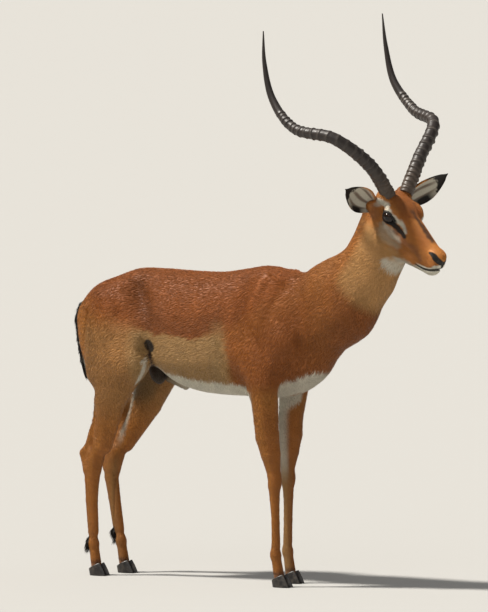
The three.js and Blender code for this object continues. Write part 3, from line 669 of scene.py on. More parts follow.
def near_head(p):
    q = to_head(p)
    return (q[:, 0] > -14) & (q[:, 2] > -112)


def near_features(p):
    q = to_head(p)
    _, _, reach = eye_angles(q)
    muzzle = (q[:, 0] > 192) & (q[:, 2] > -80)
    return ((q[:, 0] > -14) & (reach < 36)) | muzzle


def build_skin():
    points, quads = skin_net()
    points = settle(skin, points, 2)
    mesh = bpy.data.meshes.new("skin")
    mesh.from_pydata(points.tolist(), [], quads.tolist())
    bm = bmesh.new()
    bm.from_mesh(mesh)
    refined(bm, lambda p: near_head(p) | (p[:, 2] < 385))
    refined(bm, near_features)
    bm.normal_update()
    bm.to_mesh(mesh)
    bm.free()
    points = np.zeros(len(mesh.vertices) * 3)
    mesh.vertices.foreach_get("co", points)
    points = points.reshape(-1, 3)
    edges = np.zeros(len(mesh.edges) * 2, int)
    mesh.edges.foreach_get("vertices", edges)
    edges = edges.reshape(-1, 2)
    points = settle(skin, points, 3, 2.0)
    points = relax(points, edges, 2, skin)
    points = settle(skin, points, 3, 2.0)
    mesh.vertices.foreach_set("co", points.ravel())
    mesh.update()
    return mesh, points


# ---------------------------------------------------------------- markings

def painter(colour):
    """A brush for the rows of a colour table."""
    def paint(pigment, weight):
        colour[:] = colour + (pigment - colour) * np.clip(weight, 0, 1)[..., None]
    return paint


def head_markings(q, colour):
    """Paints the face: the dark blaze, the pale brows, cheeks and lips, the black of eye and nose, and
    painted shade along the muzzle's side.
    """
    side = np.c_[q[:, 0], np.abs(q[:, 1]), q[:, 2]]
    uneven = ripple(q, 14, 3)
    turn, rise, reach = eye_angles(q)
    upper, lower = lid_edges(turn)
    paint = painter(colour)

    def line(stops):
        return to_line(side, stops)

    on_face = above(q[:, 0], 20, 50)
    paint(ORANGE, 0.75 * on_face)
    crown, _ = line([(20, 0, 50), (60, 0, 62), (100, 6, 54)])
    paint(SADDLE * 0.9, 0.75 * above(-crown + 4 * uneven, -36, 26))
    bridge, _ = line([(110, 26, 30), (160, 24, 18), (210, 20, 4)])
    paint(SADDLE * 1.3, 0.35 * above(-bridge + 4 * uneven, -14, 16))
    under_eye, _ = line([(70, 56, -14), (100, 52, -20), (132, 44, -26)])
    paint(WHITE * 0.75, 0.75 * above(-under_eye + 3 * uneven, -11, 14))
    cheek, _ = line([(64, 54, -34), (92, 52, -44), (124, 40, -46)])
    paint(GREY * 1.15, 0.7 * above(-cheek + 4 * uneven, -16, 24))
    jaw = above(-q[:, 2] - 0.22 * q[:, 0] + 3 * uneven, 36, 30) * on_face
    paint(BUFF, 0.6 * jaw)
    under = above(-q[:, 2] - 0.24 * (220 - q[:, 0]) + 3 * uneven, 62, 12) * above(q[:, 0], 130, 26)
    paint(WHITE * 0.85, 0.85 * under * above(q[:, 2], -110, 10))
    # Painted shade: a dark brown band down the muzzle's side below the tear line.
    shade, _ = line([(118, 44, -8), (150, 38, -18), (190, 26, -24), (214, 22, -34)])
    paint(BROWN * 2.2, 0.55 * above(-shade + 3 * uneven, -9, 14))
    blaze, share = line([(104, 0, 54), (140, 0, 40), (190, 0, 26), (222, 0, 17)])
    paint(BROWN * 0.8, 0.92 * above(-blaze + 2 * uneven, -(9.5 - 3.5 * share), 7) * above(q[:, 0], 106, 22))
    paint(ORANGE * 1.15, above(q[:, 0] + 2 * uneven, 221, 12) * above(q[:, 2], -14, 10)
          * above(-side[:, 1], -20, 14))
    brow, share = to_line(side[:, [0, 2]], [(28, 35), (50, 34), (76, 31), (100, 25), (120, 14), (142, 1)])
    paint(WHITE * 0.85, 0.95 * above(-brow + 1.0 * uneven, -(9.5 - 6 * share), 5) * above(side[:, 1], 26, 8))
    temple, _ = line([(22, 55, 20), (34, 56, 36)])
    paint(WHITE * 0.7, 0.7 * above(-temple + 2 * uneven, -11, 9))
    mouth_height = curve_at(q[:, 0], MOUTH)
    band = 7 + 8 * above(q[:, 0], 262, 24)
    lip = above(q[:, 0], 212, 20) * above(-(q[:, 2] - mouth_height) + 1.0 * uneven, -band, 4)
    paint(WHITE, lip)
    black, share = line(TEAR)
    paint(BLACK, 0.97 * above(-black + 1.2 * uneven, -(9.5 - 4 * share), 4))
    rim = np.maximum(rise - upper, lower - rise)
    rim = np.where(np.abs(turn) > 88, 60, rim)
    paint(BLACK, above(-rim - 0.5 * uneven, -19, 9) * above(-reach, -34, 4))
    rear, _ = line([(50, 55, 12), (60, 57, 18)])
    paint(BLACK, above(-rear + 1.5 * uneven, -8, 5))
    pad, share = line(NOSE_PAD)
    reach_of_pad = np.interp(share, [0, 0.2, 0.4, 0.6, 0.8, 1], [3.5, 6, 9, 9, 6.5, 3])
    paint(BLACK, above(-pad + 0.6 * uneven, -reach_of_pad, 2.6))
    mouth, share = to_line(q[:, [0, 2]], MOUTH)
    paint(BLACK, 0.95 * above(-mouth, -(2.6 + 1.2 * share), 2) * smooth(share * 8) * above(-q[:, 0], -280, 4))
    corner, _ = line([(10, 46, 4), (22, 50, -14)])
    paint(BROWN * 1.6, 0.4 * above(-corner, -18, 18))


# The middle of each kind of leg from the body down: x of the right leg, distance out and height.
FORELEG_AXIS = [(52, 82, 560), (54, 74, 466), (65, 67, 372), (73, 63, 318), (77, 63, 200), (80, 63, 95),
                (93, 63, 24)]
HINDLEG_AXIS = [(-448, 90, 600), (-503, 80, 492), (-538, 67, 376), (-566, 62, 340), (-582, 61, 270),
                (-582, 61, 200), (-577, 61, 95), (-562, 61, 24)]
LEFT_LEG_BACK = {"fore": -50, "hind": -14}


def round_leg(p, axis, back):
    """Where points lie round a leg: 1 at the front to -1 behind, and 1 outside to -1 inside."""
    table = np.array(axis, float)[::-1]
    x = np.interp(p[:, 2], table[:, 2], table[:, 0])
    out = np.interp(p[:, 2], table[:, 2], table[:, 1])
    late = np.interp(p[:, 2], [200, 560], [1, 0.6])
    ahead = p[:, 0] - x - np.where(p[:, 1] > 0, back * late, 0)
    aside = np.abs(p[:, 1]) - out
    size = np.hypot(ahead, aside * 1.25) + 1e-6
    return ahead / size, aside * 1.25 / size


def leg_markings(p, colour, fine):
    """The legs are tan outside and in front, and pale inside down to the knees and hocks, with painted shade
    high inside the thighs.
    """
    paint = painter(colour)
    z = p[:, 2]
    for axis, back, is_fore in ((FORELEG_AXIS, LEFT_LEG_BACK["fore"], True),
                                (HINDLEG_AXIS, LEFT_LEG_BACK["hind"], False)):
        here = above(p[:, 0], -200, 10) if is_fore else above(-p[:, 0], 200, 10)
        ahead, aside = round_leg(p, axis, back)
        inside = above(-aside + 0.1 * fine, 0.55, 0.5)
        if is_fore:
            pale = inside * above(-ahead, -0.5, 0.4) * above(-z, -520, 40) * above(z, 300, 60)
            paint(WHITE * 0.8, 0.85 * pale * here)
            paint(BUFF * 0.8, 0.6 * above(-aside, 0.45, 0.5) * above(-z, -330, 60) * here)
            paint(SADDLE * 0.95, 0.45 * above(ahead, 0.3, 0.6) * above(-z, -500, 80) * here)
        else:
            rear = above(-ahead + 0.1 * fine, 0.35, 0.5)
            paint(WHITE * 0.8, 0.85 * inside * rear * above(-z, -560, 60) * above(z, 380, 60) * here)
            # Painted shade: the inner side of the hind legs high up between the thighs is darkened.
            deep = above(-np.abs(p[:, 1]), -58, 16)
            paint(BUFF * 0.5, 0.85 * above(-aside, 0.45, 0.4) * deep * above(z, 500, 60)
                  * above(-z, -640, 40) * here)
            paint(BUFF * 0.7, 0.5 * above(-aside, 0.5, 0.5) * above(-z, -330, 60) * here)
            paint(ORANGE * 0.8, 0.5 * above(-ahead, 0.2, 0.6) * above(-z, -400, 80) * here)
            paint(SADDLE, 0.35 * above(ahead, 0.3, 0.6) * above(-z, -400, 80) * here)
    paint(BROWN, 0.75 * above(-z + 2 * fine, -46, 16))


def flank_spot(p):
    """How far points lie from the black spot in the fold of the flank: under 1 inside it."""
    return np.hypot((p[:, 0] + 338) / 23, (p[:, 2] - 663) / 19) + 9 * above(-np.abs(p[:, 1]), -60, 10)


def coat_colours(p):
    """The coat's colour at points of the skin, as linear RGB."""
    out = np.abs(p[:, 1])
    x, z = p[:, 0], p[:, 2]
    sideways = np.c_[x, z]
    uneven = ripple(p, 46, 1)
    fine = ripple(p, 15, 2)
    colour = np.tile(TAN, (len(p), 1))
    paint = painter(colour)
    q = to_head(p)
    on_head = above(q[:, 0], 8, 26) * above(-np.linalg.norm(q - (120, 0, -20), axis=1), -250, 40)

    # The neck is a warmer tan, darker along its back, with painted shade along its front.
    neck = above(x, 170, 160)
    paint(ORANGE * 0.95, 0.7 * neck)
    nape = above(z - 0.95 * (x - 200), 1000, 130)
    paint(SADDLE * 1.3, 0.5 * neck * nape)
    # Painted shade darkens the front of the neck.
    throat_front_shade = above(x - 0.66 * (z - 755), 296, 130)
    paint(SADDLE * 0.8, 0.75 * neck * throat_front_shade * above(-z, -1010, 60))

    # The saddle, with its clear lower edge, fades over the shoulder and the thigh.
    edge = curve_at(x, [(-690, 830), (-600, 790), (-520, 752), (-430, 714), (-360, 706), (-309, 700),
                        (-230, 695), (-150, 692), (-125, 701), (-60, 712),
                        (0, 722), (80, 760), (150, 800), (240, 860)])
    softness = curve_at(x, [(-600, 150), (-440, 90), (-340, 8), (-150, 8), (-60, 60), (60, 160), (200, 200)])
    saddle = smooth((z - edge + 4 * fine + 5 * uneven) / softness + 0.5)
    paint(SADDLE, saddle * (1 - 0.75 * neck))
    shoulder = above(x, -66, 60) * above(-x, -210, 100) * above(z, 560, 60)
    paint(SADDLE * 1.05, 0.75 * shoulder * (1 - saddle))
    behind, _ = to_line(sideways, [(-84, 720), (-70, 640), (-92, 600)])
    paint(BUFF * 0.9, 0.6 * above(-behind + 5 * fine, -22, 26))
    # Painted shade darkens the coat along the hollow before the hip.
    hip, _ = to_line(sideways, HIP_HOLLOW)
    paint(SADDLE * 0.40, 0.62 * above(-hip + 4 * fine + 5 * uneven, -34, 62) * above(z, 700, 30))
    # Painted shade darkens the lower part of the saddle on the flank's side.
    saddle_lower_shade = above(-z, -(edge + 62), 60) * saddle * above(x, -330, 40) * above(-x, 60, 60)
    paint(SADDLE * 0.62, 0.6 * saddle_lower_shade)
    # Painted shade darkens the foot of the neck in front of the shoulder.
    neck_foot_shade = above(x, 40, 90) * above(-(z - 0.55 * (x - 150)), -800, 110) * above(z, 560, 60)
    paint(SADDLE * 0.85, 0.6 * neck_foot_shade)

    # Below it a pale tan band, and then the white belly.
    band = (1 - saddle) * above(-z, -(edge + 8), 20) * above(x, -392, 40) * above(-x, 66, 40)
    paint(BUFF * 0.82, 0.85 * band)
    thigh = above(-x, 380, 60) * above(-z, -720, 70) * above(z, 470, 120) * above(x, -580, 60)
    paint(BUFF * 0.75, 0.45 * thigh)
    rump_edge = above(-x, 575, 40) * above(-z, -760, 60) * above(z, 560, 60)
    paint(ORANGE * 1.1, 0.6 * rump_edge)
    white_edge = curve_at(x, [(-640, 560), (-420, 612), (-350, 604), (-300, 589), (-180, 573),
                              (-60, 565), (30, 545)])
    belly = (above(-(z + 3 * fine), -white_edge, 10) * above(x, -358, 22) * above(-x, -20, 30)
             * above(-out, -116, 10))
    paint(WHITE, belly * above(z, 480, 40))
    brisket, _ = to_line(np.c_[x, 0.8 * out, z],
                         [(40, 20, 520), (96, 36, 545), (150, 26, 560), (190, 8, 590)])
    paint(WHITE * 0.9, 0.92 * above(-brisket + 3 * fine, -30, 14) * above(-out, -70, 12)
          * above(-z, -606, 16))

    # The legs, and the white line down the front of the thigh.
    legs = above(-z, -600, 50) * above(-z, -590, 40)
    painted = colour.copy()
    leg_markings(p, painted, fine)
    colour[:] += (painted - colour) * legs[:, None]
    mirrored = np.c_[x, out, z]
    front, _ = to_line(mirrored, [(-353, 98, 633), (-374, 98, 579), (-394, 91, 545), (-430, 84, 490),
                                  (-457, 78, 431)])
    paint(WHITE * 0.9, 0.9 * above(-front + 0.8 * fine, -6.5, 4))

    # Black marks: flank fold, buttock stripes, tail and the tufts above the hind fetlocks; the scrotum's dark
    # skin with painted shadow in the groin, and painted shadow in the fold between thigh and belly.
    paint(BLACK, 0.98 * above(-flank_spot(p), -1, 0.2))
    # The scrotum's dark skin, with painted shadow darkening the groin round it.
    groin, _ = to_line(mirrored, [(-366, 12, 606), (-398, 16, 582)])
    paint(BLACK * 2.5, 0.9 * above(-groin + 3 * fine, -44, 18) * above(-z, -622, 20))
    # Painted shadow in the fold between the thigh and the belly.
    gusset_shadow, _ = to_line(mirrored, [(-346, 86, 636), (-360, 56, 606), (-378, 28, 590)])
    paint(BROWN * 0.3, 0.95 * above(-gusset_shadow + 1 * fine, -12, 6))
    stripe, _ = to_line(mirrored, [(-648, 34, 760), (-640, 44, 700), (-616, 56, 640), (-596, 62, 600)])
    paint(WHITE * 0.95, 0.85 * above(-stripe, -26, 14) * above(-out, -44, 14) * above(-x, 560, 40))
    paint(BLACK, 0.95 * above(-stripe + 1.5 * fine, -8.5, 5))
    tail, _ = to_line(p, TAIL)
    on_tail = above(-tail, -19, 4) * above(-z, -790, 16) * above(-x, 640, 10)
    stops = np.array(TAIL, float)[::-1]
    offset = np.c_[x - np.interp(z, stops[:, 2], stops[:, 0]),
                   p[:, 1] - np.interp(z, stops[:, 2], stops[:, 1])]
    dark = unit(offset) @ unit((-0.8, -0.6))
    paint(WHITE, on_tail)
    paint(BLACK, on_tail * above(dark, 0.05, 0.3))
    drop = np.where(p[:, 1] < 0, HEEL_TOP["left"] - HEEL_TOP["right"], 0)
    tuft, _ = to_line(np.c_[x, out, z + drop], [(-598, HINDFOOT_OUT, 124), (-598, HINDFOOT_OUT, 88)])
    paint(BLACK, above(-tuft + 1.2 * fine, -14, 6))

    near = np.nonzero(on_head > 0.001)[0]
    if len(near):
        painted = colour[near].copy()
        head_markings(q[near], painted)
        colour[near] += (painted - colour[near]) * on_head[near][:, None]
    throat, _ = to_line(np.c_[q[:, 0], np.abs(q[:, 1]), q[:, 2]],
                        [(118, 48, -112), (132, 28, -122), (137, 0, -124)])
    paint(WHITE * 0.8, 0.85 * above(-throat + 3 * fine, -14, 12))
    nape_side, _ = to_line(mirrored, [(366, 44, 1036), (392, 52, 1014), (404, 56, 985)])
    paint(BUFF * 1.2, 0.2 * above(-nape_side + 2 * fine, -12, 16))
    return np.clip(colour * (1 + 0.06 * uneven + 0.05 * fine)[:, None], 0.003, 0.95)


# ---------------------------------------------------------------- making pieces

CLAW_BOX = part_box("hoof_foreleg_right_outer")
SHIFT = np.array([
    CLAW_BOX[1].x / MM - (FORELEGS["right"]["hoof"] + CLAW_TOE),
    (CLAW_BOX[0].y + CLAW_BOX[1].y) / 2 / MM + FOREFOOT_OUT + CLAW_APART + CLAW_WIDTH / 2,
    0.0,
])


def set_colours(mesh, colours, name="coat"):
    layer = mesh.color_attributes.new(name, "FLOAT_COLOR", "POINT")
    layer.data.foreach_set("color", np.c_[colours, np.ones(len(colours))].astype(np.float32).ravel())


def placed(name, mesh, points, material, replaced=()):
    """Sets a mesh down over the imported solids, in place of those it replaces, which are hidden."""
    mesh.vertices.foreach_set("co", ((points + SHIFT) * MM).astype(np.float32).ravel())
    mesh.polygons.foreach_set("use_smooth", np.ones(len(mesh.polygons), bool))
    mesh.update()
    mesh.materials.append(material)
    piece = bpy.data.objects.new(name, mesh)
    bpy.context.scene.collection.objects.link(piece)
    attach(piece, "root")
    if replaced:
        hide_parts(*replaced)
    return piece


def piece_from(name, points, faces, material, colours=None, replaced=()):
    mesh = bpy.data.meshes.new(name)
    mesh.from_pydata(points.tolist(), [], faces)
    if colours is not None:
        set_colours(mesh, colours)
    return placed(name, mesh, points, material, replaced)


def grid_faces(rows, columns, closed=True):
    """Quads between rows of corners, each row a closed ring or an open strip."""
    faces = []
    across = columns if closed else columns - 1
    for i in range(rows - 1):
        for j in range(across):
            k = (j + 1) % columns
            faces.append((i * columns + j, i * columns + k, (i + 1) * columns + k, (i + 1) * columns + j))
    return faces


def tube(rings):
    """Closed skin over rings of corners, with a fan at each end."""
    rings = np.array(rings)
    rows, columns = rings.shape[:2]
    points = np.concatenate([rings.reshape(-1, 3), rings[0].mean(0)[None], rings[-1].mean(0)[None]])
    faces = grid_faces(rows, columns)
    first, last = rows * columns, rows * columns + 1
    for j in range(columns):
        k = (j + 1) % columns
        faces.append((first, k, j))
        faces.append((last, (rows - 1) * columns + j, (rows - 1) * columns + k))
    return points, faces


# ---------------------------------------------------------------- materials

class Nodes:
    """A short way to write a material's nodes."""

    def __init__(self, name):
        self.material = bpy.data.materials.new(name)
        self.material.use_nodes = True
        self.tree = self.material.node_tree
        self.shader = self.tree.nodes["Principled BSDF"]

    def add(self, kind, inputs=None, **settings):
        node = self.tree.nodes.new(kind)
        for key, value in settings.items():
            setattr(node, key, value)
        for key, value in (inputs or {}).items():
            if isinstance(value, bpy.types.NodeSocket):
                self.tree.links.new(value, node.inputs[key])
            else:
                node.inputs[key].default_value = value
        return node

    def math(self, operation, a, b=0.0):
        return self.add("ShaderNodeMath", {0: a, 1: b}, operation=operation).outputs[0]

    def noise(self, scale, stretch=(1, 1, 1), turn=(0, 0, 0), detail=3.0, roughness=0.55):
        where = self.add("ShaderNodeTexCoord").outputs["Object"]
        mapping = self.add("ShaderNodeMapping", {"Vector": where, "Scale": stretch, "Rotation": turn})
        made = self.add("ShaderNodeTexNoise", {
            "Vector": mapping.outputs[0], "Scale": scale, "Detail": detail, "Roughness": roughness})
        return made.outputs["Fac"]

    def remap(self, value, low, high, to_low, to_high):
        inputs = {"Value": value, "From Min": low, "From Max": high, "To Min": to_low, "To Max": to_high}
        return self.add("ShaderNodeMapRange", inputs).outputs[0]

    def mix(self, amount, a, b):
        return self.add("ShaderNodeMix", {"Factor": amount, 6: a, 7: b}, data_type="RGBA").outputs[2]

    def shade(self, colour, value):
        return self.add("ShaderNodeHueSaturation", {"Color": colour, "Value": value}).outputs[0]

    def attribute(self, name, output="Color"):
        return self.add("ShaderNodeAttribute", attribute_name=name).outputs[output]

    def bump(self, height, strength, distance, normal=None):
        inputs = {"Height": height, "Strength": strength, "Distance": distance}
        if normal is not None:
            inputs["Normal"] = normal
        return self.add("ShaderNodeBump", inputs).outputs[0]

    def set(self, **values):
        for key, value in values.items():
            socket = self.shader.inputs[key.replace("_", " ")]
            if isinstance(value, bpy.types.NodeSocket):
                self.tree.links.new(value, socket)
            else:
                socket.default_value = value


def hair_streaks(nodes):
    """Fine streaks along the lie of the coat: level on the trunk, upright on the legs, tilted on the neck."""
    region = nodes.add("ShaderNodeSeparateColor", {"Color": nodes.attribute("region")})
    trunk = nodes.noise(1.0, stretch=(90, 620, 620))
    legs = nodes.noise(1.0, stretch=(700, 700, 110))
    neck = nodes.noise(1.0, stretch=(90, 620, 620), turn=(0, math.radians(50), 0))
    head = nodes.noise(1.0, stretch=(160, 950, 950), turn=(0, math.radians(-32), math.radians(13)))

    def blend(amount, a, b):
        node = nodes.add("ShaderNodeMix", {"Factor": amount, "A": a, "B": b}, data_type="FLOAT")
        return node.outputs["Result"]

    mixed = blend(region.outputs["Red"], trunk, legs)
    mixed = blend(region.outputs["Green"], mixed, neck)
    return blend(region.outputs["Blue"], mixed, head)


def skin_material():
    nodes = Nodes("short_coat")
    streaks = hair_streaks(nodes)
    patches = nodes.noise(22.0, detail=2.0)
    colour = nodes.shade(nodes.attribute("coat"), nodes.remap(streaks, 0.3, 0.7, 0.78, 1.18))
    colour = nodes.shade(colour, nodes.remap(patches, 0.3, 0.7, 0.93, 1.06))
    nodes.set(Base_Color=colour, Roughness=nodes.remap(streaks, 0.3, 0.7, 0.62, 0.48), Specular_IOR_Level=0.3,
              Sheen_Weight=0.08, Sheen_Roughness=0.45, Sheen_Tint=(0.95, 0.80, 0.66, 1.0))
    rough = nodes.noise(260.0, detail=2.0)
    normal = nodes.bump(streaks, 0.45, 0.0012)
    nodes.set(Normal=nodes.bump(rough, 0.25, 0.0006, normal))
    return nodes.material


def tuft_material(name, roughness=0.44):
    nodes = Nodes(name)
    strands = nodes.noise(520.0, detail=2.0)
    colour = nodes.shade(nodes.attribute("coat"), nodes.remap(strands, 0.3, 0.7, 0.88, 1.12))
    nodes.set(Base_Color=colour, Roughness=roughness, Specular_IOR_Level=0.22,
              Sheen_Weight=0.05, Sheen_Roughness=0.4, Sheen_Tint=(0.95, 0.80, 0.66, 1.0))
    nodes.set(Normal=nodes.bump(strands, 0.3, 0.0004))
    return nodes.material


def horn_material():
    nodes = Nodes("horn_keratin")
    grain = nodes.noise(60.0, stretch=(1, 1, 0.25), detail=5.0)
    fine = nodes.noise(420.0, detail=3.0)
    worn = nodes.shade(nodes.attribute("coat"), nodes.remap(grain, 0.3, 0.7, 0.72, 1.25))
    nodes.set(Base_Color=worn, Roughness=nodes.remap(fine, 0.3, 0.7, 0.34, 0.58), Specular_IOR_Level=0.5)
    normal = nodes.bump(grain, 0.35, 0.0012)
    nodes.set(Normal=nodes.bump(fine, 0.25, 0.0004, normal))
    return nodes.material


def hoof_material():
    nodes = Nodes("hoof_keratin")
    rings = nodes.noise(1.0, stretch=(60, 60, 420), detail=3.0)
    dust = nodes.noise(90.0, detail=4.0)
    dark = nodes.mix(nodes.remap(dust, 0.45, 0.75, 0.0, 0.55),
                     (0.014, 0.012, 0.011, 1), (0.085, 0.066, 0.048, 1))
    nodes.set(Base_Color=nodes.shade(dark, nodes.remap(rings, 0.3, 0.7, 0.8, 1.2)),
              Roughness=nodes.remap(dust, 0.3, 0.7, 0.32, 0.6), Normal=nodes.bump(rings, 0.4, 0.0008))
    return nodes.material


def eye_material():
    nodes = Nodes("eye")
    veins = nodes.noise(700.0, detail=3.0)
    colour = nodes.shade(nodes.attribute("coat"), nodes.remap(veins, 0.3, 0.7, 0.7, 1.4))
    nodes.set(Base_Color=colour, Roughness=0.12, Specular_IOR_Level=0.35)
    return nodes.material


def floor_material():
    nodes = Nodes("pale_floor")
    nodes.set(Base_Color=(0.46, 0.455, 0.44, 1), Roughness=0.9, Specular_IOR_Level=0.1)
    return nodes.material


# ---------------------------------------------------------------- horns

def catmull(core, count):
    """A centripetal curve through points, as evenly spaced places with their headings."""
    core = np.array(core, float)
    ends = [2 * core[0] - core[1], *core, 2 * core[-1] - core[-2]]
    places = []
    for p0, p1, p2, p3 in zip(ends, ends[1:], ends[2:], ends[3:]):
        t0 = 0.0
        t1 = t0 + math.sqrt(np.linalg.norm(p1 - p0))
        t2 = t1 + math.sqrt(np.linalg.norm(p2 - p1))
        t3 = t2 + math.sqrt(np.linalg.norm(p3 - p2))
        t = np.linspace(t1, t2, 60, endpoint=False)[:, None]
        a1 = (t1 - t) / (t1 - t0) * p0 + (t - t0) / (t1 - t0) * p1
        a2 = (t2 - t) / (t2 - t1) * p1 + (t - t1) / (t2 - t1) * p2
        a3 = (t3 - t) / (t3 - t2) * p2 + (t - t2) / (t3 - t2) * p3
        b1 = (t2 - t) / (t2 - t0) * a1 + (t - t0) / (t2 - t0) * a2
        b2 = (t3 - t) / (t3 - t1) * a2 + (t - t1) / (t3 - t1) * a3
        places.append((t2 - t) / (t2 - t1) * b1 + (t - t1) / (t2 - t1) * b2)
    path = np.concatenate(places + [core[-1:]])
    run = np.r_[0, np.cumsum(np.linalg.norm(np.diff(path, axis=0), axis=1))]
    even = np.linspace(0, run[-1], count)
    places = np.stack([np.interp(even, run, path[:, axis]) for axis in range(3)], axis=1)
    return places, unit(np.gradient(places, axis=0)), run[-1]


HORN_BASE_COLOUR = np.array([0.022, 0.015, 0.012])
HORN_DUST = np.array([0.36, 0.31, 0.25])
RIDGED_SHARE = 0.64


def horn_ridges():
    """Places of the growth ridges along a horn: close at the root, wide apart higher up, close again."""
    places, t = [], 0.012
    while t < RIDGED_SHARE:
        places.append(t)
        t += 0.017 + 0.021 * math.sin(math.pi * min(t / RIDGED_SHARE, 1)) ** 1.5
    return np.array(places)


def build_horn(name, side, material):
    wider = HORN_LEFT_WIDER if side == LEFT else [0] * len(HORN_CORE)
    core = np.array([(-back, side * (out + more), up) for (back, out, up), more in zip(HORN_CORE, wider)])
    core = core @ HORN_TURN.T + HORN_ORIGIN
    root = core[0] + unit(core[0] - core[1]) * HORN_SEAT
    rows, columns = 420, 40
    places, headings, length = catmull([root, *core], rows)
    share = np.linspace(0, 1, rows)
    radius = np.interp(share, np.linspace(0, 1, len(HORN_RADII)), HORN_RADII)
    across = unit(np.cross((0, 0, 1), headings))
    upward = np.cross(headings, across)
    angle = np.linspace(0, 2 * math.pi, columns, endpoint=False)
    outward = across[:, None] * np.cos(angle)[:, None] + upward[:, None] * np.sin(angle)[:, None]
    front = smooth(0.5 + 0.5 * outward @ unit(HEAD_TURN @ np.array((1.0, 0, 0.5))))
    ridges = horn_ridges()
    wander = np.random.default_rng(7 + side).uniform(-1, 1, (len(ridges), 4))
    rise = np.zeros((rows, columns))
    dust = np.zeros((rows, columns))
    for place, (a, b, c, d) in zip(ridges, wander):
        bent = place + (0.0035 * np.sin(angle + 2 * a) + 0.0016 * np.sin(2 * angle + 3 * b))[None, :]
        ahead = (share[:, None] - bent) * length
        steep = np.exp(-(np.maximum(-ahead, 0) / 1.6) ** 2)
        tail_off = np.exp(-(np.maximum(ahead, 0) / 5.5) ** 2)
        shape = np.where(ahead < 0, steep, tail_off)
        grown = np.interp(place, [0, 0.1, 0.5, RIDGED_SHARE], [0.8, 1, 1, 0.5])
        height = (2.1 + 0.9 * c) * (0.35 + 0.95 * front) * grown
        rise += height * shape
        pale = np.exp(-((ahead - 2.2) / 3.0) ** 2) * (0.35 + 0.65 * front) * (0.75 + 0.25 * d)
        dusted = np.interp(place, [0, 0.12, 0.35, 0.5, RIDGED_SHARE], [0.35, 0.4, 0.7, 1, 0.8])
        dust = np.maximum(dust, pale * dusted)
    rise -= 0.8 * above(-share, -RIDGED_SHARE, 0.06)[:, None]
    grooves = 0.18 * np.sin(angle * 13 + 2 * np.sin(angle * 3))[None, :] * above(-share, -0.75, 0.2)[:, None]
    reach = radius[:, None] + rise + grooves
    rings = places[:, None] + outward * reach[:, :, None]
    points, faces = tube(rings)
    flat = rings.reshape(-1, 3)
    patch = 0.75 + 0.25 * ripple(flat, 26, 11 + side)
    weight = np.clip(dust.ravel() * patch, 0, 1) * (0.42 if side == LEFT else 0.18)
    colours = HORN_BASE_COLOUR + (HORN_DUST - HORN_BASE_COLOUR) * weight[:, None]
    low = above(-np.repeat(share, columns), -0.10, 0.12)
    colours = colours + (np.array([0.10, 0.066, 0.042]) - colours) * (0.45 * low)[:, None]
    colours = np.concatenate([colours, colours[:1], colours[-1:]])
    return piece_from(f"horn_{name}_ridged", points, faces, material, colours, [f"horn_{name}"])


# ---------------------------------------------------------------- eyes

def build_eye(name, side, material):
    rows, columns = 60, 96
    polar = np.linspace(0, math.pi, rows)
    turn = np.linspace(0, 2 * math.pi, columns, endpoint=False)
    bulge = 1.3 * above(-np.degrees(polar), -36, 24)
    along = np.cos(polar)[:, None, None] * GAZE
    around = np.cos(turn)[:, None] * SLIT + np.sin(turn)[:, None] * BROWWARD
    local = (along + np.sin(polar)[:, None, None] * around) * (EYE_RADIUS - 0.3 + bulge)[:, None, None]
    local = local[1:-1]
    slit, rise = local @ SLIT, local @ BROWWARD
    pupil = above(-((slit / 7.2) ** 4 + (rise / 3.4) ** 4), -1.0, 0.4)
    iris = above(-np.hypot(slit, rise), -12.0, 1.2)
    front = (local @ GAZE) > 0
    brown = np.array([0.014, 0.006, 0.003])
    colours = np.tile([0.006, 0.004, 0.004], (*slit.shape, 1))
    colours = colours + (brown - colours) * (iris * front)[..., None]
    colours = colours + (np.array([0.002, 0.002, 0.003]) - colours) * (pupil * front)[..., None]
    places = local + EYE
    places[..., 1] *= side
    points, faces = tube(from_head(places))
    if side < 0:
        faces = [tuple(reversed(face)) for face in faces]
    flat = colours.reshape(-1, 3)
    flat = np.concatenate([flat, flat[:1] * 0 + 0.002, flat[-1:]])
    return piece_from(f"eye_{name}_ball", points, faces, material, flat, [f"eye_{name}"])


# ---------------------------------------------------------------- ears

EAR_SHARES = [0.42, 0.62, 0.86, 1, 0.98, 0.8, 0.5, 0.05]


def ear_frame(ear):
    side = ear["side"]
    root = np.array([ear["root"][0], side * ear["root"][1], ear["root"][2]], float)
    along = unit((ear["along"][0], side * ear["along"][1], ear["along"][2]))
    facing = np.array([1.0, 0, 0])
    back = -unit(facing - along * (facing @ along))
    return root, along, back, np.cross(along, back)


def ear_place(ear, t, angle, inner):
    """A place on an ear's outer (inner = 0) or inner (inner = 1) side, in the body's frame."""
    root, along, back, across = ear_frame(ear)
    stops = np.linspace(0, 1, len(EAR_SHARES))
    share = sum(np.interp(np.clip(t + d, 0, 1), stops, EAR_SHARES) for d in (-0.05, -0.02, 0, 0.02, 0.05)) / 5
    share = share * np.sqrt(np.clip((1.004 - t) / 0.10, 0, 1))
    half = ear["width"] / 2 * share
    cup = EAR_DEPTH * np.cos(t * 1.2) * share + 2
    thin = (1.6 + 2.6 * (1 - t)) * np.minimum(1, share + 0.2) * inner
    rib = 1.0 * np.sin(angle * 7) * inner * share * above(-t, -0.8, 0.3)
    curl = 3.0 * np.sin(t * math.pi) * share
    shape = (root + along * (ear["length"] * t - EAR_SUNK)[..., None]
             + across * ((half - thin * 0.6) * np.cos(angle))[..., None]
             + back * ((cup - thin - rib) * np.sin(angle) - cup * 0.3 - curl * np.cos(angle) ** 2)[..., None])
    return from_head(shape)


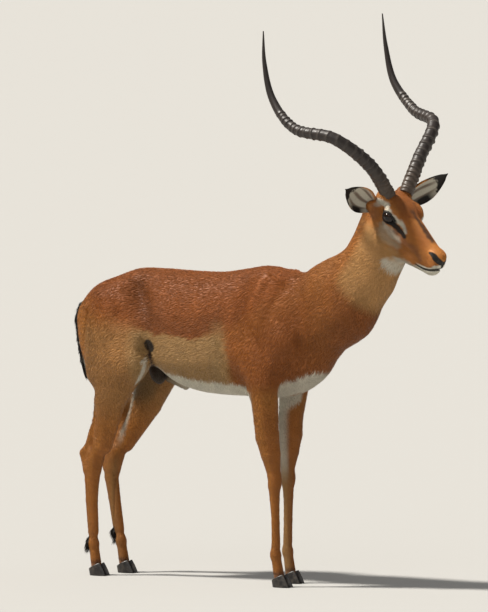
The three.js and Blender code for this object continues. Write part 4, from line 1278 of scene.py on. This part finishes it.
def ear_colours(ear, t, angle, inner, p):
    uneven = ripple(p.reshape(-1, 3), 9, 21).reshape(t.shape)
    lower = np.cos(angle) * ear["side"]
    colour = np.tile(ORANGE * 1.05, (*t.shape, 1))
    paint = painter(colour)
    streak = 0.5 + 0.5 * np.sin(angle * 8 + 1.4 * np.sin(t * 5) + 0.5)
    paint(WHITE * 0.72, inner * np.ones_like(t))
    shown = above(-np.abs(np.cos(angle)), -0.8, 0.3) * above(t, 0.16, 0.2) * above(-t, -0.72, 0.3)
    paint(BROWN * 0.9, 0.75 * inner * above(streak, 0.72, 0.4) * shown)
    paint(BLACK * 1.5, above(t + 0.03 * uneven + 0.10 * np.abs(np.cos(angle)) ** 3, 0.76, 0.05))
    spot = np.exp(-((t - 0.40) / 0.16) ** 2) * above(-lower, 0.72, 0.24)
    paint(BLACK * 1.5, 1.4 * spot)
    upper_edge = 0.5 if ear["side"] == LEFT else 0.86
    paint(ORANGE * 1.1, 0.8 * inner * above(lower, upper_edge, 0.2) * above(-t, -0.68, 0.2))
    return colour


def build_ear(name, material):
    ear = EARS[name]
    rows, columns = 90, 44
    t = np.linspace(0, 1, rows)[:, None]
    angle = np.linspace(0, math.pi, columns)[None, :]
    t2, a2 = np.broadcast_arrays(t, angle)
    outer = ear_place(ear, t2, a2, 0.0)
    inner = ear_place(ear, t2, a2, 1.0)
    rings = np.concatenate([outer, inner[:, ::-1]], axis=1)
    colours = np.concatenate([ear_colours(ear, t2, a2, 0.0, outer),
                              ear_colours(ear, t2, a2, 1.0, inner)[:, ::-1]], axis=1)
    points, faces = tube(rings)
    flat = colours.reshape(-1, 3)
    flat = np.concatenate([flat, flat[:1], flat[-1:]])
    piece = piece_from(f"ear_{name}_shell", points, faces, material, flat, [f"ear_{name}"])
    outward_faces(piece)
    return piece


def outward_faces(piece):
    """Turns a closed piece's faces so that they point out."""
    bm = bmesh.new()
    bm.from_mesh(piece.data)
    bmesh.ops.recalc_face_normals(bm, faces=bm.faces)
    bm.to_mesh(piece.data)
    bm.free()


# ---------------------------------------------------------------- hooves

def build_hoof(name, y, hoof, place, material):
    """One claw: flat under its sole and sloping at the front."""
    columns = 40
    angle = np.linspace(0, 2 * math.pi, columns, endpoint=False)
    slope_up = math.tan(math.radians(CLAW_SLOPE))
    rings = []
    for level in np.r_[0, 0.03, np.linspace(0.1, 1, 12)]:
        inset = 0.8 if level == 0 else 0.0
        half = CLAW_LENGTH / 2 * (1 - 0.34 * level) - inset
        middle = hoof + CLAW_TOE - CLAW_LENGTH / 2 - 13 * level
        x = middle + half * np.cos(angle)
        pointed = 1 - 0.45 * np.maximum(0, np.cos(angle)) ** 2
        wide = (CLAW_WIDTH / 2 * (1 - 0.1 * level) - inset) * pointed
        sideways = y + place * (CLAW_APART + CLAW_WIDTH / 2 * 0.98 + wide * np.sin(angle))
        top = CLAW_HEEL + slope_up * (x - (hoof - CLAW_LENGTH + CLAW_TOE))
        rings.append(np.c_[x, sideways, level * top])
    points, faces = tube(np.array(rings))
    piece = piece_from(f"claw_{name}", points, faces, material, None, [f"hoof_{name}"])
    outward_faces(piece)
    return piece


# ---------------------------------------------------------------- the stage

def build_stage():
    reach = 200.0
    mesh = bpy.data.meshes.new("floor")
    corners = [(-reach, -reach, 0), (reach, -reach, 0), (reach, reach, 0), (-reach, reach, 0)]
    mesh.from_pydata(corners, [], [(0, 1, 2, 3)])
    mesh.materials.append(floor_material())
    floor = bpy.data.objects.new("floor", mesh)
    bpy.context.scene.collection.objects.link(floor)

    world = bpy.data.worlds.new("studio")
    bpy.context.scene.world = world
    world.use_nodes = True
    nodes = world.node_tree.nodes
    links = world.node_tree.links
    up = nodes.new("ShaderNodeSeparateXYZ")
    links.new(nodes.new("ShaderNodeTexCoord").outputs["Generated"], up.inputs[0])
    ramp = nodes.new("ShaderNodeValToRGB")
    ramp.color_ramp.elements[0].position = 0.0
    ramp.color_ramp.elements[0].color = (0.36, 0.32, 0.26, 1)
    ramp.color_ramp.elements[1].position = 0.9
    ramp.color_ramp.elements[1].color = (1.0, 1.0, 1.0, 1)
    links.new(up.outputs["Z"], ramp.inputs["Fac"])
    links.new(ramp.outputs["Color"], nodes["Background"].inputs["Color"])
    nodes["Background"].inputs["Strength"].default_value = WORLD_STRENGTH

    def sun(name, azimuth, height, strength, angle, colour):
        lamp = bpy.data.lights.new(name, "SUN")
        lamp.energy = strength
        lamp.angle = math.radians(angle)
        lamp.color = colour
        made = bpy.data.objects.new(name, lamp)
        a, h = math.radians(azimuth), math.radians(height)
        toward = Vector((math.cos(a) * math.cos(h), math.sin(a) * math.cos(h), math.sin(h)))
        made.rotation_euler = toward.to_track_quat("Z", "Y").to_euler()
        bpy.context.scene.collection.objects.link(made)

    sun("key", *KEY_LIGHT)
    sun("fill", *FILL_LIGHT)
    bpy.context.scene.view_settings.view_transform = "Standard"


def build_camera():
    azimuth, pitch = math.radians(CAMERA_AZIMUTH), math.radians(CAMERA_PITCH)
    away = np.array([math.sin(azimuth) * math.cos(pitch), -math.cos(azimuth) * math.cos(pitch),
                     math.sin(pitch)])
    target = CAMERA_TARGET + SHIFT * MM
    lens = bpy.data.cameras.new("camera")
    lens.sensor_fit = "VERTICAL"
    lens.sensor_height = 36.0
    lens.lens = PIXELS_PER_METRE * CAMERA_DISTANCE / PHOTO_HEIGHT * lens.sensor_height
    lens.clip_start, lens.clip_end = 1.0, 600.0
    camera = bpy.data.objects.new("camera", lens)
    camera.location = Vector(target + away * CAMERA_DISTANCE)
    camera.rotation_euler = Vector(away).to_track_quat("Z", "Y").to_euler()
    bpy.context.scene.collection.objects.link(camera)
    bpy.context.scene.camera = camera


# ---------------------------------------------------------------- putting it together

def region_weights(p):
    """Where the coat lies as on the legs (red), the neck (green) and the head (blue)."""
    x, z = p[:, 0], p[:, 2]
    q = to_head(p)
    legs = above(-z, -600, 90)
    neck = above(x + 0.9 * (z - 790), 170, 120) * above(x, 90, 80)
    head = above(q[:, 0], 14, 40) * above(q[:, 2], -104, 30)
    return np.c_[legs, neck, head]


# ---------------------------------------------------------------- the coat

# The skin that each tuft has to itself, as a share of its length times its width.
HAIR_SPREAD = 0.62
COAT_SEED, HEEL_SEED, TAIL_SEED = 11, 5, 8
HEEL_HAIRS, TAIL_HAIRS = 420, 1900
HEEL_TOP = {"right": 112, "left": 130}
HEEL_SPAN = 34

# The coat's pieces, each with its right and then its left one, and the number of each right one.
COAT_PARTS = ["flank", "shoulder", "rump", "neck", "crown", "face", "foreleg", "forefoot", "hindleg",
              "hindfoot"]
COAT_PIECES = [f"coat_{part}_{name}" for part in COAT_PARTS for name in SIDES]
FLANK, SHOULDER, RUMP, NECK, CROWN, FACE, FORELEG, FOREFOOT, HINDLEG, HINDFOOT = range(0, 20, 2)
SHOULDER_FROM, RUMP_FROM, FACE_FROM, FOOT_BELOW, LEG_TOP = -150, -420, 118, 330, 660

# A tuft's triangles over its seven corners: three at the root, three in the middle and the tip.
TUFT_CORNERS = 7
TUFT_FACES = [(0, 2, 1), (0, 1, 4), (0, 4, 3), (1, 2, 5), (1, 5, 4), (2, 0, 3), (2, 3, 5), (3, 4, 6),
              (4, 5, 6), (5, 3, 6)]
# The share of the coat's colour that each of those corners takes: painted shade darkens the roots, and the
# tip is lightest as painted light.
TUFT_SHADE = np.array([0.84, 0.84, 0.88, 0.98, 0.98, 1.02, 1.08])
PATCH_SIZE = 0.003


def hair_sizes(p):
    """Length and width of a tuft, and how many stand on a square millimetre."""
    weights = region_weights(p)
    q = to_head(p)
    low = above(-p[:, 2], -400, 160)
    muzzle = above(q[:, 0], 110, 90)
    length = 17 + 3 * above(-p[:, 2], -640, 60) * (1 - weights[:, 0])
    length = length + (11 - length) * weights[:, 0]
    length = length + (7 - length) * low
    length = length + (16 - length) * weights[:, 1]
    length = length + (8 - 4.2 * muzzle - length) * weights[:, 2]
    length = length + (6 - length) * above(-flank_spot(p), -1.4, 0.4)
    width = 0.55 + 0.085 * length
    return length, width, 1 / (HAIR_SPREAD * length * width)


def lie(p):
    """Which way the hair points: back along the trunk and face, down the legs and the neck."""
    weights = region_weights(p)
    out = np.sign(p[:, 1])
    x, z = p[:, 0], p[:, 2]
    way = np.tile((-1.0, 0.0, -0.34), (len(p), 1))

    def bend(direction, weight):
        nonlocal way
        way = way + (direction - way) * np.clip(weight, 0, 1)[:, None]

    bend((-0.45, 0.0, -1.0), above(-x, 470, 160) * above(-z, -880, 80))
    bend((-0.62, 0.0, -0.8), above(x, -40, 140) * above(-z, -800, 120))
    bend((-0.12, 0.0, -1.0), weights[:, 0])
    bend((-0.74, 0.0, -0.72), weights[:, 1])
    bend((-0.15, 0.0, -1.0), weights[:, 1] * above(x - 0.66 * (z - 755), 350, 60))
    back = unit(from_head(np.array((-1.0, 0.0, 0.16))) - from_head(np.zeros(3)))
    bend(back, weights[:, 2])
    curl = ripple(p, 52, 4)
    finer = ripple(p, 19, 5)
    way[:, 2] += 0.18 * curl + 0.12 * finer
    way[:, 1] += 0.12 * out * finer
    return way


def chosen_roots(mesh, points, rng):
    """Roots spread evenly over the skin, with the skin's normals there."""
    mesh.calc_loop_triangles()
    corners = np.zeros(len(mesh.loop_triangles) * 3, int)
    mesh.loop_triangles.foreach_get("vertices", corners)
    corners = corners.reshape(-1, 3)
    normals = np.zeros(len(points) * 3)
    mesh.vertices.foreach_get("normal", normals)
    normals = normals.reshape(-1, 3)
    a, b, c = (points[corners[:, k]] for k in range(3))
    area = np.linalg.norm(np.cross(b - a, c - a), axis=1) / 2
    _, _, density = hair_sizes((a + b + c) / 3)
    sums = np.cumsum(area * density)
    face = np.searchsorted(sums, np.arange(0.5, sums[-1]))
    u, v = rng.random(len(face)), rng.random(len(face))
    over = u + v > 1
    u[over], v[over] = 1 - u[over], 1 - v[over]
    shares = np.c_[1 - u - v, u, v]
    roots = (points[corners[face]] * shares[:, :, None]).sum(1)
    ups = unit((normals[corners[face]] * shares[:, :, None]).sum(1))
    kept = haired(roots)
    return roots[kept], ups[kept]


def haired(p):
    """The skin is bare in the eye's opening, on the nose pad and where hooves and horns stand."""
    q = to_head(p)
    side = np.c_[q[:, 0], np.abs(q[:, 1]), q[:, 2]]
    turn, rise, reach = eye_angles(q)
    upper, lower = lid_edges(turn)
    open_eye = (np.maximum(rise - upper, lower - rise) < 5) & (reach < 32) & (np.abs(turn) < 88)
    pad, _ = to_line(side, NOSE_PAD)
    horns, _ = to_line(side, horn_seats())
    return ~open_eye & (pad > 8.5) & (p[:, 2] > 40) & (horns > HORN_RADII[0] - 2)


def horn_seats():
    """Where the right horn leaves the skull, as two places along its start in the head's frame."""
    core = np.array(HORN_CORE[:2], float) * (1, -1, 1)
    places = HORN_ORIGIN + core @ HORN_TURN.T
    places[1] = places[0] + (places[1] - places[0]) * 0.4
    q = to_head(places)
    return np.c_[q[:, 0], np.abs(q[:, 1]), q[:, 2]]


def tufts(roots, mids, tips, ups, width, thick):
    """Closed tufts of ten triangles each: three corners at the root, three in the middle and a tip."""
    along = unit(tips - roots)
    across = unit(np.cross(ups, along))
    rise = np.cross(along, across)
    half = (width / 2)[:, None]
    high = (width * thick)[:, None]
    low_root = roots - rise * high
    rings = [low_root - across * half * 0.8, low_root + across * half * 0.8, roots + rise * high * 0.4,
             mids - across * half, mids + across * half, mids + rise * high, tips]
    return np.stack(rings, axis=1)


def opened_patch():
    """Each triangle's three corners on a flat patch one unit across, sides next to each other."""
    columns = [(-0.5, -0.17), (-0.17, 0.17), (0.17, 0.5)]
    strips = [((0, 1), (3, 4)), ((1, 2), (4, 5)), ((2, 0), (5, 3))]
    patch = [[(-0.5, -0.5), (0.5, -0.5), (0.0, -0.46)]]
    place = {}
    for number, ((r0, r1), (m0, m1)) in enumerate(strips):
        left, right = columns[number]
        place[number] = {("r", r0): (left, -0.45), ("r", r1): (right, -0.45), ("m", m0): (left, 0.05),
                         ("m", m1): (right, 0.05), ("t", 6): ((left + right) / 2, 0.5)}
    strip_of = [0, 0, 1, 1, 2, 2, 0, 1, 2]
    for face, strip in zip(TUFT_FACES[1:], strip_of):
        spots = []
        for corner in face:
            row = "r" if corner < 3 else "m" if corner < 6 else "t"
            spots.append(place[strip][(row, corner)])
        patch.append(spots)
    return patch


def tuft_map(places):
    """The bake map: each tuft is a small patch at its root's place, with its sides laid open."""
    opened = np.array(opened_patch()) * PATCH_SIZE
    return (places[:, None, None, :] * (1 - 2 * PATCH_SIZE) + PATCH_SIZE + opened[None]).reshape(-1, 2)


def coat_piece(name, shapes, colours, places, material):
    """One joined mesh of tufts, with a colour for each tuft and its place on the bake map."""
    count = len(shapes)
    corners = (np.arange(count)[:, None, None] * TUFT_CORNERS + np.array(TUFT_FACES)[None]).reshape(-1, 3)
    mesh = bpy.data.meshes.new(name)
    mesh.vertices.add(count * TUFT_CORNERS)
    mesh.loops.add(len(corners) * 3)
    mesh.polygons.add(len(corners))
    mesh.loops.foreach_set("vertex_index", corners.ravel().astype(np.int32))
    mesh.polygons.foreach_set("loop_start", np.arange(0, len(corners) * 3, 3, dtype=np.int32))
    mesh.update(calc_edges=True)
    set_colours(mesh, np.clip((colours[:, None, :] * TUFT_SHADE[:, None]).reshape(-1, 3), 0.002, 0.95))
    layer = mesh.uv_layers.new(name="OFBake")
    layer.data.foreach_set("uv", tuft_map(places).astype(np.float32).ravel())
    return placed(name, mesh, shapes.reshape(-1, 3), material)


def unwrap(p, centre, along, start, end):
    """The place of points on a skin rolled open round a line: how far along it, and how far round."""
    along = unit(np.array(along, float))
    side = unit(np.cross(along, (0.0, 1.0, 0.0)))
    offset = p - centre
    round_it = np.arctan2(offset @ np.cross(along, side), offset @ side)
    return np.clip(np.c_[(offset @ along - start) / (end - start), round_it / (2 * math.pi) + 0.5], 0, 1)


def coat_regions(p):
    """The number of the coat's piece that each root belongs to, and its place on its bake map."""
    x, z = p[:, 0], p[:, 2]
    q = to_head(p)
    left = (p[:, 1] > 0).astype(int)
    on_leg, on_neck, on_head = (region_weights(p) > 0.5).T
    number = np.where(x > SHOULDER_FROM, SHOULDER, np.where(x < RUMP_FROM, RUMP, FLANK)) + left
    number = np.where(on_neck, NECK + left, number)
    number = np.where(on_head, np.where(q[:, 0] > FACE_FROM, FACE, CROWN) + (q[:, 1] > 0), number)
    low = z < FOOT_BELOW
    leg = np.where(x > -200, np.where(low, FOREFOOT, FORELEG), np.where(low, HINDFOOT, HINDLEG))
    number = np.where(on_leg, leg + left, number)

    places = unwrap(p, (0, 0, 700), (1, 0, 0), -700, 330)
    places_neck = unwrap(p, (150, 0, 742), (0.67, 0, 0.74), -120, 460)
    places_head = unwrap(q, (0, 0, -20), (1, 0, 0), -40, 290)
    places = np.where(((number >= NECK) & (number < CROWN))[:, None], places_neck, places)
    places = np.where(((number >= CROWN) & (number < FORELEG))[:, None], places_head, places)
    for first, axis, back in ((FORELEG, FORELEG_AXIS, LEFT_LEG_BACK["fore"]),
                              (HINDLEG, HINDLEG_AXIS, LEFT_LEG_BACK["hind"])):
        table = np.array(axis, float)[::-1]
        ahead = x - np.interp(z, table[:, 2], table[:, 0]) - back * left
        aside = np.abs(p[:, 1]) - np.interp(z, table[:, 2], table[:, 1])
        opened = np.clip(np.c_[z / LEG_TOP, np.arctan2(aside, ahead) / (2 * math.pi) + 0.5], 0, 1)
        mine = (number >= first) & (number < first + 4)
        places = np.where(mine[:, None], opened, places)
    return number, places


def build_coat(mesh, points, material):
    """Short hair in flat overlapping tufts all over the skin."""
    rng = np.random.default_rng(COAT_SEED)
    roots, ups = chosen_roots(mesh, points, rng)
    length, width, _ = hair_sizes(roots)
    count = len(roots)
    length = length * rng.uniform(0.75, 1.25, count)
    way = lie(roots) + rng.normal(0, 0.06, (count, 3))
    way = unit(way - ups * (way * ups).sum(1)[:, None])
    deep = coat_depth(roots)
    lift = deep * rng.uniform(0.35, 0.8, count)
    mids = roots + way * (length * 0.5)[:, None]
    mids = mids - ups * (skin(mids) - lift * 0.6)[:, None]
    tips = roots + way * length[:, None]
    tips = tips - ups * np.clip(skin(tips) - lift, -4, 6)[:, None]
    shapes = tufts(roots - ups * 0.6, mids, tips, ups, width, 0.13)
    colours = coat_colours(roots) * rng.uniform(0.9, 1.1, (count, 1))
    number, places = coat_regions(roots)
    for index, name in enumerate(COAT_PIECES):
        mine = np.nonzero(number == index)[0]
        if len(mine):
            coat_piece(name, shapes[mine], colours[mine], places[mine], material)


def long_hairs(name, roots, tips, sag, ups, width, colours, material):
    """A lock of separate long hairs, each bowed outward in its middle."""
    middle = (roots + tips) / 2 + ups * sag
    shapes = tufts(roots, middle, tips, ups, width, 0.3)
    low, high = roots.min(0), roots.max(0)
    spread = (roots - low) / np.maximum(high - low, 1)
    places = np.c_[spread[:, 2], spread[:, 0] * 0.5 + spread[:, 1] * 0.5]
    coat_piece(name, shapes, colours, places, material)


def build_heel_tufts(material):
    """The black brushes behind the hind cannons, just above the fetlocks."""
    rng = np.random.default_rng(HEEL_SEED)
    count = HEEL_HAIRS
    for name, leg in HINDLEGS.items():
        turn = rng.uniform(-1.15, 1.15, count)
        height = HEEL_TOP[name] - HEEL_SPAN * rng.uniform(0, 1, count)
        behind = np.c_[-np.cos(turn), np.sin(turn), np.zeros(count)]
        centre_x = curve_at(height, [(60, leg["fetlock"]), (200, leg["shin"])])
        roots = np.c_[centre_x, np.full(count, leg["side"] * HINDFOOT_OUT), height]
        roots = settle(skin, roots + behind * 13, 2, 6) - behind * 0.8
        length = rng.uniform(16, 27, count)
        way = unit(np.c_[-0.62 + rng.normal(0, 0.14, count), np.sin(turn) * 0.25 + rng.normal(0, 0.1, count),
                         np.full(count, -1.0)])
        tips = roots + way * length[:, None]
        colours = BLACK * rng.uniform(0.7, 1.8, (count, 1))
        width = rng.uniform(1.4, 2.2, count)
        long_hairs(f"heel_tuft_{name}", roots, tips, 1.6, behind, width, colours, material)


def build_tail_hair(material):
    """The tail's long hair: black behind, cream at the edges."""
    rng = np.random.default_rng(TAIL_SEED)
    count = TAIL_HAIRS
    share = rng.uniform(0.17, 1.0, count)
    stops = np.array(TAIL, float)
    steps = np.arange(len(stops))
    place = share * (len(stops) - 1)
    centre = np.stack([np.interp(place, steps, stops[:, axis]) for axis in range(3)], axis=1)
    after = np.stack([np.interp(place + 0.2, steps, stops[:, axis]) for axis in range(3)], axis=1)
    down = unit(after - centre + (0, 0, -1e-3))
    turn = rng.uniform(0, 2 * math.pi, count)
    sideways = np.c_[np.cos(turn), np.sin(turn), np.zeros(count)]
    radius = np.interp(place, steps, TAIL_RADII)
    roots = centre + sideways * (radius * 0.8)[:, None] * (1, TAIL_FLAT * 0.8, 1)
    length = rng.uniform(22, 34, count)
    tips = roots + down * length[:, None] + sideways * rng.uniform(-1.5, 1.5, (count, 1)) + (2.0, 0, 0)
    dark = above(sideways @ unit((-0.8, -0.6, 0.0)), -0.1, 0.35)[:, None]
    colours = (WHITE * 0.9 * (1 - dark) + BLACK * dark) * rng.uniform(0.75, 1.2, (count, 1))
    width = rng.uniform(1.3, 2.2, count)
    long_hairs("tail_hair", roots, tips, 1.2, sideways, width, colours, material)


build_camera()
build_stage()

skin_mesh, skin_points = build_skin()
set_colours(skin_mesh, coat_colours(skin_points))
set_colours(skin_mesh, region_weights(skin_points), "region")
flesh = ["head", "neck", "trunk", "tail"]
flesh += [f"{leg}_{name}_{part}"
          for leg in ("foreleg", "hindleg") for name in SIDES for part in ("upper", "lower")]
placed("skin", skin_mesh, skin_points, skin_material(), flesh)
hair = tuft_material("hair")
build_coat(skin_mesh, skin_points, hair)
build_heel_tufts(hair)
build_tail_hair(hair)

keratin, hoof_finish, wet = horn_material(), hoof_material(), eye_material()
ear_finish = tuft_material("ear_coat", 0.6)
for name, side in SIDES.items():
    build_horn(name, side, keratin)
    build_eye(name, side, wet)
    build_ear(name, ear_finish)
for kind, legs, out in (("foreleg", FORELEGS, FOREFOOT_OUT), ("hindleg", HINDLEGS, HINDFOOT_OUT)):
    for name, leg in legs.items():
        for part, place in (("outer", leg["side"]), ("inner", -leg["side"])):
            build_hoof(f"{kind}_{name}_{part}", leg["side"] * out, leg["hoof"], place, hoof_finish)
